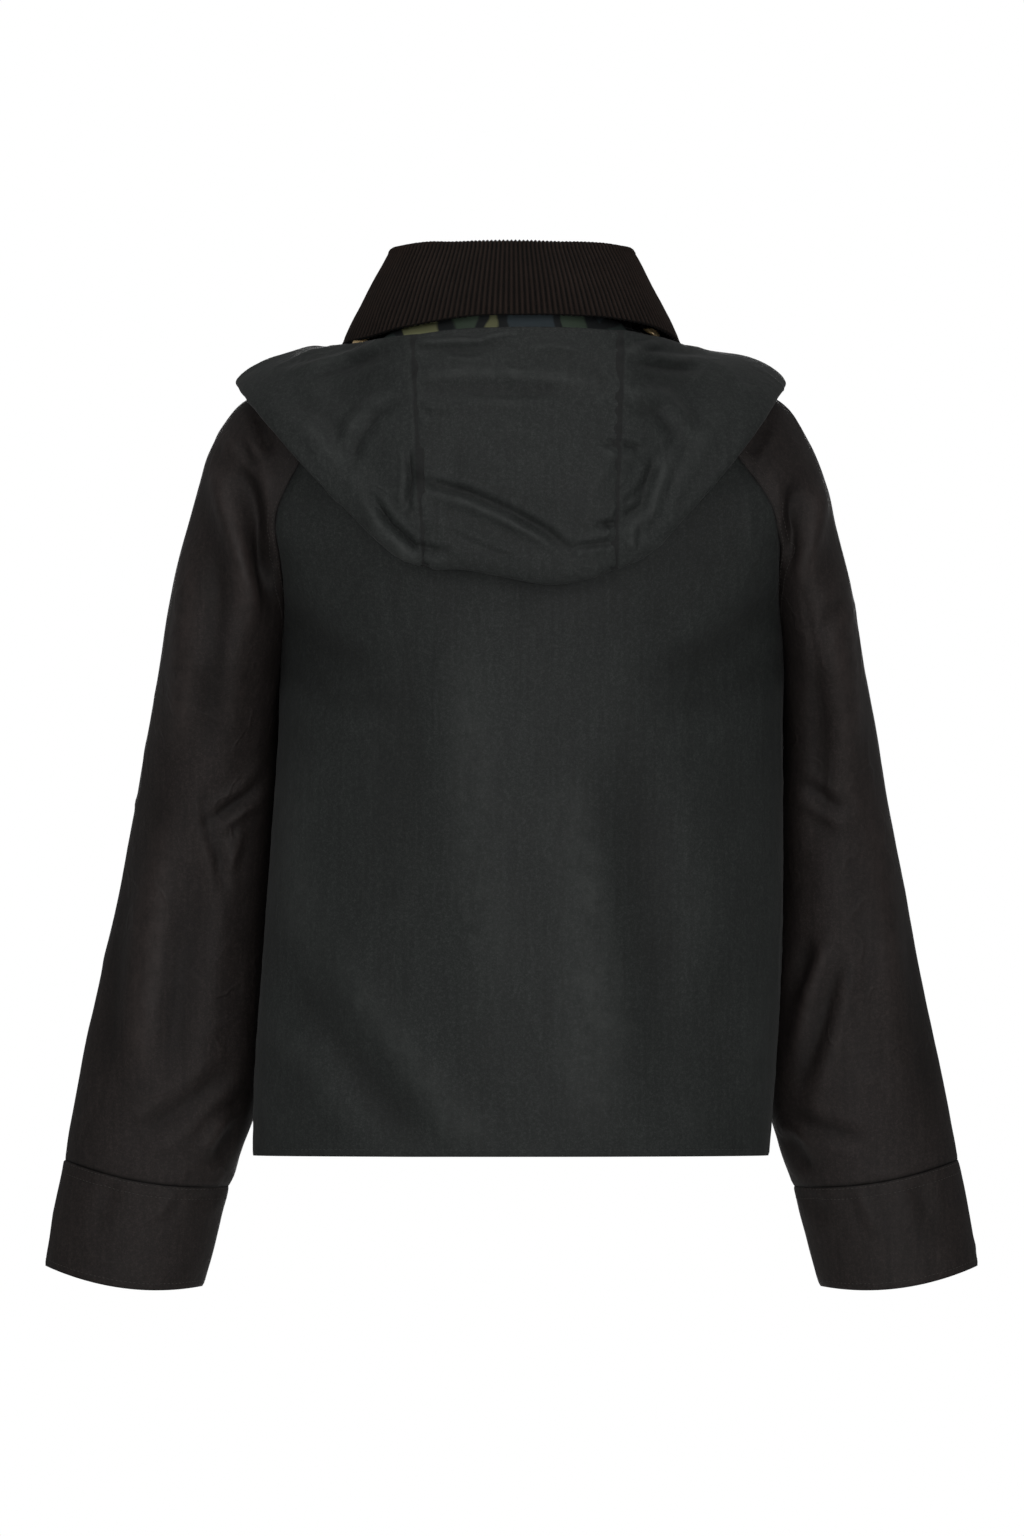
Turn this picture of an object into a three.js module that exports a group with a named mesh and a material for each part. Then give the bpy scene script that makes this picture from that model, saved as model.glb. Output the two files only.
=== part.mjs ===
// Waxed cotton jacket with raglan sleeves, a corduroy collar and a hood worn down.
// It is filled out as on a wearer, hollow, with open neck, hem and cuffs.
// Millimetres, +Z up. The front faces -Y, the back +Y, and the wearer's left is +X.
// The origin is the middle of the neck opening, at the height of the neck seam.
import * as THREE from "three";
import { mergeVertices } from "three/addons/utils/BufferGeometryUtils.js";

// Driving dimensions
const WALL = 2.0;            // body and sleeves: waxed cotton with its lining
const HOOD_WALL = 1.6;
const CUFF_WALL = 2.6;
const COLLAR_WALL = 2.4;
const SEAM_GAP = 0.3;        // between pieces that are sewn together
const HEM_Z = -595;
const NECK_MIDDLE_Y = -4;    // the neck and collar angles turn about this point
const LAP = 22;              // how far each front passes the middle
const LAP_CLEAR = 0.5;
const BACK_COLUMNS = 18;
const FRONT_COLUMNS = 9;
const SLEEVE_COLUMNS = 18;
const BODY_ROWS = 14;
const ARM_ROWS = 17;

// Raglan seam and sleeve, one row for each section from the neck to the cuff seam.
// seam: the raglan seam seen from behind, below row 10 the inner side of the sleeve.
// out: the shoulder line and outer edge. wrap: degrees that the cloth turns past its
// widest depth, 90 for a closed tube. depth: half its depth. y: the middle of it.
// drop: how much lower the front raglan seam lies. dip: how far the middle of the row sags.
const SLEEVE_ROWS = [
  { left: [72, 4], right: [72, 4], out: [88, -4], wrap: -50, depth: 70, y: -3, drop: 34 },
  { left: [98, -16], right: [100, -16], out: [119, -15.5], wrap: -38, depth: 68, y: -3, drop: 30 },
  { left: [122, -42], right: [126, -42], out: [150, -24], wrap: -29, depth: 75, y: -3, drop: 26 },
  { left: [140, -70], right: [148, -70], out: [178, -34.5], wrap: -20, depth: 80, y: -4, drop: 22 },
  { left: [152, -94], right: [165, -94], out: [198, -47], wrap: -12, depth: 80, y: -5, drop: 18 },
  { left: [163, -115], right: [181, -115], out: [211.5, -69], wrap: -4, depth: 78, y: -6, drop: 14 },
  { left: [169, -131], right: [189, -131], out: [222, -94], wrap: 4, depth: 76, y: -8, drop: 10 },
  { left: [170, -146], right: [192, -146], out: [230.5, -123.5], wrap: 15, depth: 75, y: -10, drop: 7 },
  { left: [167, -162], right: [193, -162], out: [238, -157], wrap: 32, depth: 74, y: -13, drop: 4 },
  { left: [165, -190], right: [194, -190], out: [245, -191], wrap: 58, depth: 72, y: -16, drop: 2 },
  { left: [167.6, -232], right: [197.6, -232], out: [252, -233], wrap: 90, depth: 70, y: -20, drop: 0 },
  { left: [169, -268], right: [197.4, -268], out: [259, -269], wrap: 90, depth: 68, y: -35, drop: 0 },
  { left: [168.6, -304], right: [196, -304], out: [266, -305], wrap: 90, depth: 66, y: -50, drop: 0 },
  { left: [168, -340], right: [193, -340], out: [272, -341], wrap: 90, depth: 65, y: -57, drop: 0 },
  { left: [169.5, -376], right: [192, -376], out: [279, -377], wrap: 90, depth: 63, y: -61, drop: 0 },
  { left: [172, -412], right: [191.5, -412], out: [286.5, -413], wrap: 90, depth: 61, y: -63, drop: 0 },
  { left: [175, -448], right: [190, -448], out: [294, -449], wrap: 90, depth: 59, y: -64, drop: 0 },
  { left: [178, -486], right: [188.5, -486], out: [301, -484], wrap: 90, depth: 57, y: -64, drop: 0 },
  { left: [181, -525], right: [186.5, -525], out: [308.5, -520], wrap: 90, depth: 55, y: -64, drop: 0 },
  { left: [188.5, -570], right: [189.5, -570], out: [316, -560], wrap: 90, depth: 53, y: -64, dip: 3 },
  { left: [203.5, -617], right: [203.5, -617], out: [323, -598], wrap: 90, depth: 50, y: -64, dip: 7 },
];
const UNDERARM = 10;
const CUFF_ROWS = [
  { left: [204, -617.6], right: [204, -617.6], out: [323.4, -598.6], wrap: 90, depth: 51, y: -64, dip: 7 },
  { left: [210, -642], right: [210, -642], out: [328.4, -624], wrap: 90, depth: 50, y: -65, dip: 7.5 },
  { left: [216, -666], right: [216, -666], out: [333, -649], wrap: 90, depth: 49.5, y: -66, dip: 8 },
  { left: [223, -690], right: [223, -690], out: [337.5, -675], wrap: 90, depth: 49, y: -67, dip: 8.5 },
];

// Body above the underarm: middle of the back and of the front, one row for each raglan row.
const YOKE_ROWS = [
  { backY: 68, backZ: 12, frontY: -76, frontZ: -52 },
  { backY: 82, backZ: -12, frontY: -88, frontZ: -66 },
  { backY: 93, backZ: -40, frontY: -98, frontZ: -84 },
  { backY: 101, backZ: -68, frontY: -106, frontZ: -104 },
  { backY: 107, backZ: -93, frontY: -112, frontZ: -120 },
  { backY: 112, backZ: -115, frontY: -116, frontZ: -136 },
  { backY: 115, backZ: -132, frontY: -119, frontZ: -148 },
  { backY: 117, backZ: -148, frontY: -121, frontZ: -160 },
  { backY: 119, backZ: -165, frontY: -123, frontZ: -174 },
  { backY: 121, backZ: -194, frontY: -126, frontZ: -198 },
];
const NECK_TURN = 48;        // degrees that a row of the body turns, at the neck
const SIDE_TURN = 90;        // and from the underarm down

// Body from the underarm to the hem.
const BODY_SECTIONS = [
  { z: -232, left: 167, right: 197, back: 122, front: -128, side: -20 },
  { z: -300, left: 169, right: 196, back: 120, front: -132, side: -20 },
  { z: -380, left: 174.5, right: 196.5, back: 116, front: -132, side: -18 },
  { z: -460, left: 180.5, right: 195, back: 112, front: -130, side: -16 },
  { z: -540, left: 186, right: 190.5, back: 110, front: -128, side: -14 },
  { z: HEM_Z, left: 187, right: 186, back: 110, front: -126, side: -12 },
];

// Largest folds, as seen from behind or from the front: from and to are [x, z].
// A depth below zero is a trough.
const SLEEVE_FOLDS = [
  { side: 1, face: 1, from: [200, -100], to: [166, -196], width: 16, depth: -5 },
  { side: 1, face: 1, from: [196, -75], to: [172, -194], width: 14, depth: 3 },
  { side: 1, face: 1, from: [168, -306], to: [216, -353], width: 14, depth: -6 },
  { side: 1, face: 1, from: [170, -324], to: [200, -349], width: 11, depth: 4 },
  { side: 1, face: 1, from: [212, -540], to: [268, -580], width: 14, depth: -3 },
  { side: 1, face: 1, from: [196, -560], to: [228, -624], width: 12, depth: -4 },
  { side: -1, face: 1, from: [-192, -120], to: [-212, -170], width: 16, depth: -4 },
  { side: -1, face: 1, from: [-204, -230], to: [-240, -196], width: 14, depth: -4 },
  { side: -1, face: 1, from: [-214, -446], to: [-202, -496], width: 15, depth: -5 },
  { side: -1, face: 1, from: [-234, -454], to: [-208, -548], width: 16, depth: 4 },
  { side: 1, face: -1, from: [180, -330], to: [250, -360], width: 16, depth: -6 },
  { side: 1, face: -1, from: [176, -372], to: [240, -400], width: 15, depth: -5 },
  { side: -1, face: -1, from: [-184, -335], to: [-252, -362], width: 16, depth: -6 },
  { side: -1, face: -1, from: [-186, -380], to: [-240, -410], width: 15, depth: -5 },
];
const BODY_FOLDS = [
  { face: 1, from: [120, -250], to: [168, -215], width: 20, depth: -5 },
  { face: 1, from: [-140, -250], to: [-192, -205], width: 20, depth: -5 },
  { face: 1, from: [160, -470], to: [70, -585], width: 26, depth: -4 },
  { face: 1, from: [-90, -330], to: [-130, -560], width: 30, depth: -4 },
  { face: 1, from: [20, -300], to: [-10, -570], width: 34, depth: 4 },
  { face: -1, from: [90, -190], to: [160, -225], width: 20, depth: -5 },
  { face: -1, from: [-90, -190], to: [-185, -225], width: 20, depth: -5 },
  { face: -1, from: [110, -330], to: [90, -580], width: 30, depth: -4 },
  { face: -1, from: [-120, -320], to: [-100, -580], width: 30, depth: -4 },
];

// Collar by angle from the middle of the back. top: the fold. edge: the lower edge.
const COLLAR_SECTIONS = [
  { angle: 0, topR: 73, topZ: 64.5, edgeR: 97, leftZ: 11.5, rightZ: 11.5 },
  { angle: 22, topR: 74, topZ: 64, edgeR: 99, leftZ: 8.5, rightZ: 10.5 },
  { angle: 45, topR: 77.5, topZ: 63.4, edgeR: 104, leftZ: 1, rightZ: 7.5 },
  { angle: 68, topR: 83.5, topZ: 61.4, edgeR: 112, leftZ: -5.5, rightZ: 1 },
  { angle: 90, topR: 86.5, topZ: 58, edgeR: 118, leftZ: -9, rightZ: -8 },
  { angle: 118, topR: 86, topZ: 41, edgeR: 129, leftZ: -25, rightZ: -25 },
  { angle: 145, topR: 81, topZ: 6, edgeR: 132, leftZ: -66, rightZ: -66 },
  { angle: 166, topR: 78, topZ: -30, edgeR: 131, leftZ: -98, rightZ: -98 },
];
const COLLAR_SEAT = 1.2;     // the stand's foot above the neck edge
const COLLAR_END = 166;      // degrees from the back to each front end
const WALE_PITCH = 3.6;      // corduroy
const WALE_HEIGHT = 0.7;
const COLLAR_ROLL = 4.2;     // radius of the fold, to the outer face
const FINE_PER_COARSE = 6;   // columns of the ribbed face to one of the plain faces

// Hood, one row for each station from the middle of the back to a front end.
// rim: the face opening. fold: the outermost edge of the bag. base: its neck edge.
const HOOD_LEFT = [
  { rim: [0, 118, 2], fold: [0, 136, -180], base: [0, 75, 17] },
  { rim: [37, 116, 0.5], fold: [33, 136, -174], base: [22, 73, 16] },
  { rim: [72, 108, -4], fold: [64, 135, -171], base: [43, 65, 13] },
  { rim: [97, 92, -8], fold: [90, 132, -156], base: [61, 53, 9] },
  { rim: [113, 70, -10], fold: [120, 124, -127], base: [76, 40, 4] },
  { rim: [123, 46, -11], fold: [150, 112, -96], base: [86, 25, 1] },
  { rim: [131, 22, -12], fold: [175, 88, -67], base: [93, 9, -1] },
  { rim: [135, -3, -14], fold: [191, 50, -47], base: [95, -8, -3] },
  { rim: [135, -26, -19], fold: [196, 8, -37], base: [93, -25, -9] },
  { rim: [131, -46, -29], fold: [180, -32, -42], base: [88, -41, -20] },
  { rim: [124, -60, -40], fold: [152, -56, -55], base: [81, -53, -31] },
];
const HOOD_RIGHT = [
  { rim: [0, 118, 2], fold: [0, 136, -180], base: [0, 75, 17] },
  { rim: [-40, 116, 1.5], fold: [-36, 136, -184], base: [-24, 73, 16] },
  { rim: [-80, 107, -1], fold: [-76, 134, -173], base: [-45, 65, 13] },
  { rim: [-102, 90, -5], fold: [-102, 130, -157], base: [-62, 53, 9] },
  { rim: [-115, 70, -8], fold: [-124, 124, -134], base: [-76, 40, 4] },
  { rim: [-124, 46, -11], fold: [-152, 112, -102], base: [-86, 25, 1] },
  { rim: [-131, 22, -12], fold: [-177, 88, -70], base: [-93, 9, -1] },
  { rim: [-135, -3, -14], fold: [-191, 50, -48], base: [-95, -8, -3] },
  { rim: [-135, -26, -19], fold: [-196, 8, -37], base: [-93, -25, -9] },
  { rim: [-131, -46, -29], fold: [-180, -32, -42], base: [-88, -41, -20] },
  { rim: [-124, -60, -40], fold: [-152, -56, -55], base: [-81, -53, -31] },
];
const HOOD_SEAM = 2;         // the station where a side panel meets the centre panel
const HOOD_COLUMNS = { centre: 12, side: 16 };
const HOOD_CLEAR = 2.6;      // between the hood's under leaf and the shoulders
const HOOD_FOLDS = [
  { from: [58, -111], to: [6, -130], width: 13, depth: -8 },
  { from: [4, -130], to: [-38, -156], width: 13, depth: -4 },
  { from: [70, -10], to: [4, -4], width: 9, depth: 4 },
  { from: [118, -20], to: [150, -28], width: 12, depth: 5 },
  { from: [96, -128], to: [54, -159], width: 12, depth: -5 },
  { from: [-102, -96], to: [-78, -135], width: 13, depth: -5 },
  { from: [-78, -17], to: [-104, -11], width: 9, depth: 4 },
  { from: [-78, -46], to: [-130, -72], width: 14, depth: 4 },
];
const LINING_WALL = 1.0;
const STUD_RADIUS = 7;
const HOOD_STUDS = { 1: [108, 17, -11], [-1]: [-98, -4, -7] };
const FRONT_STUD_HEIGHTS = [-110, -215, -320, -425, -530];

// Colours and finishes
const FINISH = {
  shell: { color: 0x34352f, roughness: 0.62 },
  sleeve: { color: 0x2b231d, roughness: 0.5 },
  corduroy: { color: 0x1d1512, roughness: 0.9 },
  lining: { color: 0x7f8f80, roughness: 0.75 },
  brass: { color: 0xa98746, roughness: 0.35, metalness: 1 },
};

const group = new THREE.Group();

function radians(degrees) {
  return degrees * Math.PI / 180;
}

// A smooth curve through a table's values, read at any place between its rows.
function between(rows, place, read) {
  const last = rows.length - 1;
  const row = Math.min(Math.floor(place), last - 1);
  const share = place - row;
  const value = (index) => read(rows[Math.max(0, Math.min(last, index))]);
  const [before, start, end, after] = [row - 1, row, row + 1, row + 2].map(value);
  const leave = row === 0 ? end - start : (end - before) / 2;
  const arrive = row + 1 === last ? end - start : (after - start) / 2;
  const square = share * share;
  const cube = square * share;
  return start * (2 * cube - 3 * square + 1) + leave * (cube - 2 * square + share)
    + end * (3 * square - 2 * cube) + arrive * (cube - square);
}

// The place in a table where a rising column reaches a value.
function placeOf(rows, read, value) {
  let row = 0;
  while (row < rows.length - 2 && read(rows[row + 1]) < value) {
    row += 1;
  }
  return row + (value - read(rows[row])) / (read(rows[row + 1]) - read(rows[row]));
}

function smoothStep(value) {
  const share = Math.min(1, Math.max(0, value));
  return share * share * (3 - 2 * share);
}

// How far a fold raises the cloth at [x, z]: full along its line, fading at both ends.
function foldRise(folds, x, z, shareOf) {
  let rise = 0;
  for (const fold of folds) {
    const [runX, runZ] = [fold.to[0] - fold.from[0], fold.to[1] - fold.from[1]];
    const length = Math.hypot(runX, runZ);
    const along = ((x - fold.from[0]) * runX + (z - fold.from[1]) * runZ) / (length * length);
    const off = Math.abs((x - fold.from[0]) * runZ - (z - fold.from[1]) * runX) / length;
    const ends = smoothStep((along + 0.15) / 0.3) * smoothStep((1.15 - along) / 0.3);
    rise += fold.depth * shareOf(fold) * ends * Math.exp(-((off / fold.width) ** 2));
  }
  return rise;
}

// Outward directions of a grid of points. facing is the outward direction at its middle.
function directions(grid, facing, closedFrom = Infinity) {
  const rows = grid.length;
  const columns = grid[0].length;
  const result = grid.map((row, i) => row.map((point, j) => {
    const closed = i >= closedFrom;
    const before = closed && j === 0 ? columns - 2 : Math.max(0, j - 1);
    const after = closed && j === columns - 1 ? 1 : Math.min(columns - 1, j + 1);
    const across = row[after].clone().sub(row[before]);
    const down = grid[Math.min(rows - 1, i + 1)][j].clone().sub(grid[Math.max(0, i - 1)][j]);
    return across.cross(down).normalize();
  }));
  const middle = result[Math.floor(rows / 2)][Math.floor(columns / 2)];
  const turn = middle.dot(facing) < 0 ? -1 : 1;
  return result.map((row) => row.map((direction) => direction.multiplyScalar(turn)));
}

function offsetGrid(grid, normals, distance) {
  return grid.map((row, i) => row.map((point, j) => {
    return point.clone().addScaledVector(normals[i][j], distance);
  }));
}

// Each point moves out along its own direction by a height worked out from its place.
function raiseGrid(grid, normals, height) {
  return grid.map((row, i) => row.map((point, j) => {
    return point.clone().addScaledVector(normals[i][j], height(point, normals[i][j], i, j));
  }));
}

// The edge column moves towards its neighbour, to open a seam.
function trimSide(grid, column, neighbour, rows) {
  for (const row of grid.slice(0, rows)) {
    const step = row[neighbour].clone().sub(row[column]).normalize();
    row[column].addScaledVector(step, SEAM_GAP * 0.7);
  }
}

// One direction for both sides of a seam, where the two pieces run on into each other.
function shareSeam(normalsA, columnA, normalsB, columnB, rows) {
  for (let i = 0; i < rows; i += 1) {
    const a = normalsA[i][columnA];
    const b = normalsB[i][columnB];
    const share = smoothStep((a.dot(b) + 0.35) / 0.6);
    const both = a.clone().add(b).normalize();
    a.lerp(both, share).normalize();
    b.lerp(both, share).normalize();
  }
}

// A closed solid from its outer and inner grid. Its sides are open down to openRows.
function wallGeometry(outer, inner, openRows = outer.length - 1) {
  const rows = outer.length;
  const columns = outer[0].length;
  const positions = [...outer, ...inner].flatMap((row) => row.flatMap((p) => [p.x, p.y, p.z]));
  const index = [];
  const out = (i, j) => i * columns + j;
  const inn = (i, j) => (rows + i) * columns + j;
  const quad = (a, b, c, d) => index.push(a, b, c, a, c, d);
  for (let i = 0; i < rows - 1; i += 1) {
    for (let j = 0; j < columns - 1; j += 1) {
      quad(out(i, j), out(i + 1, j), out(i + 1, j + 1), out(i, j + 1));
      quad(inn(i, j), inn(i, j + 1), inn(i + 1, j + 1), inn(i + 1, j));
    }
  }
  for (let j = 0; j < columns - 1; j += 1) {
    quad(out(0, j), out(0, j + 1), inn(0, j + 1), inn(0, j));
    quad(out(rows - 1, j + 1), out(rows - 1, j), inn(rows - 1, j), inn(rows - 1, j + 1));
  }
  for (let i = 0; i < openRows; i += 1) {
    quad(out(i + 1, 0), out(i, 0), inn(i, 0), inn(i + 1, 0));
    quad(out(i, columns - 1), out(i + 1, columns - 1), inn(i + 1, columns - 1), inn(i, columns - 1));
  }
  return closedGeometry(positions, index);
}

// Joins like points and turns the faces out.
function closedGeometry(positions, index) {
  const loose = new THREE.BufferGeometry();
  loose.setAttribute("position", new THREE.Float32BufferAttribute(positions, 3));
  loose.setIndex(index);
  const geometry = mergeVertices(loose, 2e-4);
  const order = geometry.getIndex().array;
  const corner = (k) => new THREE.Vector3().fromBufferAttribute(geometry.getAttribute("position"), k);
  let volume = 0;
  for (let k = 0; k < order.length; k += 3) {
    volume += corner(order[k]).dot(corner(order[k + 1]).cross(corner(order[k + 2])));
  }
  if (volume < 0) {
    for (let k = 0; k < order.length; k += 3) {
      [order[k + 1], order[k + 2]] = [order[k + 2], order[k + 1]];
    }
  }
  geometry.computeVertexNormals();
  return geometry;
}

function addPiece(name, geometry, finish) {
  const mesh = new THREE.Mesh(geometry, new THREE.MeshStandardMaterial(FINISH[finish]));
  mesh.name = name;
  group.add(mesh);
  return mesh;
}

// Sleeves. side is 1 for the wearer's left and -1 for the right.
function sectionPoint(table, place, side, share) {
  const key = side > 0 ? "left" : "right";
  const seamX = between(table, place, (row) => row[key][0]);
  const seamZ = between(table, place, (row) => row[key][1]);
  const outX = between(table, place, (row) => row.out[0]);
  const outZ = between(table, place, (row) => row.out[1]);
  const wrap = radians(Math.min(90, between(table, place, (row) => row.wrap)));
  const depth = between(table, place, (row) => row.depth);
  const reach = Math.hypot(outX - seamX, outZ - seamZ);
  const half = reach / (1 + Math.sin(wrap));
  const [alongX, alongZ] = [(outX - seamX) / reach, (outZ - seamZ) / reach];
  const turn = -wrap + share * (Math.PI + 2 * wrap);
  const out = half * (Math.sin(turn) - 1);
  const across = 1 + out / reach;
  const dip = between(table, place, (row) => row.dip ?? 0) * 4 * across * (1 - across);
  const forward = (1 - Math.cos(turn)) / 2;
  return new THREE.Vector3(
    side * (outX + alongX * out),
    between(table, place, (row) => row.y) + depth * Math.cos(turn),
    outZ + alongZ * out - between(table, place, (row) => row.drop ?? 0) * forward - dip,
  );
}

function sectionGrid(table, places, side) {
  return places.map((place) => {
    const row = [];
    for (let j = 0; j <= SLEEVE_COLUMNS; j += 1) {
      row.push(sectionPoint(table, place, side, j / SLEEVE_COLUMNS));
    }
    return row;
  });
}

function closeRows(normals, from) {
  for (const row of normals.slice(from)) {
    const last = row.length - 1;
    const both = row[0].clone().add(row[last]).normalize();
    row[0].copy(both);
    row[last].copy(both);
  }
}

const raglanPlaces = Array.from({ length: UNDERARM + 1 }, (unused, i) => i);
const armPlaces = Array.from({ length: ARM_ROWS }, (unused, i) => {
  return UNDERARM + (i + 1) / ARM_ROWS * (SLEEVE_ROWS.length - 1 - UNDERARM);
});

const sleeves = {};
for (const side of [1, -1]) {
  const plain = sectionGrid(SLEEVE_ROWS, [...raglanPlaces, ...armPlaces], side);
  const facing = new THREE.Vector3(side, 0, 0);
  const plainNormals = directions(plain, facing, UNDERARM);
  closeRows(plainNormals, UNDERARM);
  const grid = raiseGrid(plain, plainNormals, (point, direction, i) => {
    const seamHold = i <= UNDERARM ? 0.25 : 1;
    const endHold = smoothStep((plain.length - 1 - i) / 3);
    const facesIn = Math.max(0, -direction.x * side);
    const shareOf = (fold) => fold.side === side ? smoothStep((fold.face * direction.y + 0.4) / 0.9) : 0;
    return foldRise(SLEEVE_FOLDS, point.x, point.z, shareOf) * seamHold * endHold * (1 - facesIn);
  });
  const normals = directions(grid, facing, UNDERARM);
  closeRows(normals, UNDERARM);
  sleeves[side] = { plain, grid, normals };
}

// Body panels, from the raglan and side seams to the middle.
function panelPoint(edge, middleY, middleZ, turn, share) {
  const angle = radians(turn) * share;
  const full = radians(turn);
  const bow = (1 - Math.cos(angle)) / (1 - Math.cos(full));
  return new THREE.Vector3(
    edge.x * Math.sin(angle) / Math.sin(full),
    middleY + (edge.y - middleY) * bow,
    middleZ + (edge.z - middleZ) * share * share,
  );
}

// The edge, middle and turn of every row of a panel. face is 1 for the back, -1 for the front.
function panelRows(side, face) {
  const key = side > 0 ? "left" : "right";
  const rows = YOKE_ROWS.map((row, i) => {
    const raglan = sleeves[side].plain[i];
    return {
      edge: face > 0 ? raglan[0] : raglan[SLEEVE_COLUMNS],
      middleY: face > 0 ? row.backY : row.frontY,
      middleZ: face > 0 ? row.backZ : row.frontZ,
      turn: NECK_TURN + (SIDE_TURN - NECK_TURN) * i / UNDERARM,
    };
  });
  for (let i = 0; i <= BODY_ROWS; i += 1) {
    const place = i / BODY_ROWS * (BODY_SECTIONS.length - 1);
    const z = between(BODY_SECTIONS, place, (row) => row.z);
    const width = between(BODY_SECTIONS, place, (row) => row[key]);
    const sideY = between(BODY_SECTIONS, place, (row) => row.side);
    rows.push({
      edge: new THREE.Vector3(side * width, sideY, z),
      middleY: between(BODY_SECTIONS, place, (row) => face > 0 ? row.back : row.front),
      middleZ: z,
      turn: SIDE_TURN,
    });
  }
  return rows;
}

function bodyFoldGrid(plain, facing, face) {
  const normals = directions(plain, facing);
  return raiseGrid(plain, normals, (point, direction, i) => {
    const ends = smoothStep(i / 4) * smoothStep((plain.length - 1 - i) / 2);
    const edge = smoothStep((point.y * face + 10) / 50);
    return foldRise(BODY_FOLDS, point.x, point.z, (fold) => fold.face === face ? 1 : 0) * ends * edge;
  });
}

function backGrid() {
  const right = panelRows(-1, 1);
  const left = panelRows(1, 1);
  const half = BACK_COLUMNS / 2;
  return left.map((leftRow, i) => {
    const row = [];
    for (let j = 0; j <= BACK_COLUMNS; j += 1) {
      const from = j < half ? right[i] : leftRow;
      row.push(panelPoint(from.edge, from.middleY, from.middleZ, from.turn, Math.abs(j - half) / half));
    }
    return row;
  });
}

// Columns run from the side seam to the front edge, past the middle by the lap.
function frontGrid(side) {
  const over = side < 0;
  const lift = WALL + LAP_CLEAR + 0.3;
  return panelRows(side, -1).map((from) => {
    const lapShare = Math.asin(LAP / Math.abs(from.edge.x) * Math.sin(radians(from.turn)))
      / radians(from.turn);
    const row = [];
    for (let j = 0; j <= FRONT_COLUMNS; j += 1) {
      const share = 1 - (1 + lapShare) * j / FRONT_COLUMNS;
      const point = panelPoint(from.edge, from.middleY, from.middleZ, from.turn, share);
      const past = smoothStep((side * -point.x + LAP * 3) / (LAP * 1.6));
      point.y -= over ? lift * past : 0;
      row.push(point);
    }
    return row;
  });
}

const forwards = new THREE.Vector3(0, -1, 0);
const backwards = new THREE.Vector3(0, 1, 0);
const back = bodyFoldGrid(backGrid(), backwards, 1);
const fronts = {
  1: bodyFoldGrid(frontGrid(1), forwards, -1),
  [-1]: bodyFoldGrid(frontGrid(-1), forwards, -1),
};
const backNormals = directions(back, backwards);
const frontNormals = { 1: directions(fronts[1], forwards), [-1]: directions(fronts[-1], forwards) };

// Seams: raglan seams from neck to underarm, then side seams to the hem.
for (const side of [1, -1]) {
  const backEdge = side > 0 ? BACK_COLUMNS : 0;
  const backNext = side > 0 ? BACK_COLUMNS - 1 : 1;
  const sleeve = sleeves[side];
  for (let i = 0; i < UNDERARM; i += 1) {
    sleeve.grid[i][0].copy(sleeve.plain[i][0]);
    sleeve.grid[i][SLEEVE_COLUMNS].copy(sleeve.plain[i][SLEEVE_COLUMNS]);
    back[i][backEdge].copy(sleeve.plain[i][0]);
    fronts[side][i][0].copy(sleeve.plain[i][SLEEVE_COLUMNS]);
  }
  for (let i = UNDERARM; i < back.length; i += 1) {
    fronts[side][i][0].copy(back[i][backEdge]);
  }
  shareSeam(backNormals, backEdge, sleeve.normals, 0, UNDERARM);
  shareSeam(frontNormals[side], 0, sleeve.normals, SLEEVE_COLUMNS, UNDERARM);
  for (let i = UNDERARM; i < back.length; i += 1) {
    const both = backNormals[i][backEdge].clone().add(frontNormals[side][i][0]).normalize();
    backNormals[i][backEdge].copy(both);
    frontNormals[side][i][0].copy(both);
  }
  trimSide(back, backEdge, backNext, back.length);
  trimSide(fronts[side], 0, 1, back.length);
  trimSide(sleeve.grid, 0, 1, UNDERARM);
  trimSide(sleeve.grid, SLEEVE_COLUMNS, SLEEVE_COLUMNS - 1, UNDERARM);
}

addPiece("back", wallGeometry(back, offsetGrid(back, backNormals, -WALL)), "shell");
const sideNames = { 1: "left", [-1]: "right" };
for (const side of [1, -1]) {
  const front = fronts[side];
  const frontInner = offsetGrid(front, frontNormals[side], -WALL);
  addPiece(`front_${sideNames[side]}`, wallGeometry(front, frontInner), "shell");
  const { grid, normals } = sleeves[side];
  const sleeveInner = offsetGrid(grid, normals, -WALL);
  addPiece(`sleeve_${sideNames[side]}`, wallGeometry(grid, sleeveInner, UNDERARM), "sleeve");
  const cuff = sectionGrid(CUFF_ROWS, [0, 0.75, 1.5, 2.25, 3], side);
  const cuffNormals = directions(cuff, new THREE.Vector3(side, 0, 0), 0);
  closeRows(cuffNormals, 0);
  const cuffInner = offsetGrid(cuff, cuffNormals, -CUFF_WALL);
  addPiece(`cuff_${sideNames[side]}`, wallGeometry(cuff, cuffInner, 0), "sleeve");
}

// The neck edge of all the panels, by angle from the middle of the back.
const neckEdge = [
  ...back[0],
  ...sleeves[1].grid[0],
  ...sleeves[-1].grid[0],
  ...fronts[1][0].slice(0, -2),
  ...fronts[-1][0].slice(0, -2),
].map((point) => {
  const angle = Math.atan2(point.x, point.y - NECK_MIDDLE_Y) * 180 / Math.PI;
  return { angle, radius: Math.hypot(point.x, point.y - NECK_MIDDLE_Y), z: point.z };
}).sort((a, b) => a.angle - b.angle);

function neckAt(angle) {
  const place = placeOf(neckEdge, (row) => row.angle, angle);
  const row = Math.floor(Math.min(place, neckEdge.length - 2));
  const share = Math.min(1, Math.max(0, place - row));
  return {
    radius: neckEdge[row].radius + (neckEdge[row + 1].radius - neckEdge[row].radius) * share,
    z: neckEdge[row].z + (neckEdge[row + 1].z - neckEdge[row].z) * share,
  };
}

function aroundNeck(angle, radius, z) {
  const turn = radians(angle);
  return new THREE.Vector3(radius * Math.sin(turn), NECK_MIDDLE_Y + radius * Math.cos(turn), z);
}

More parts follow.
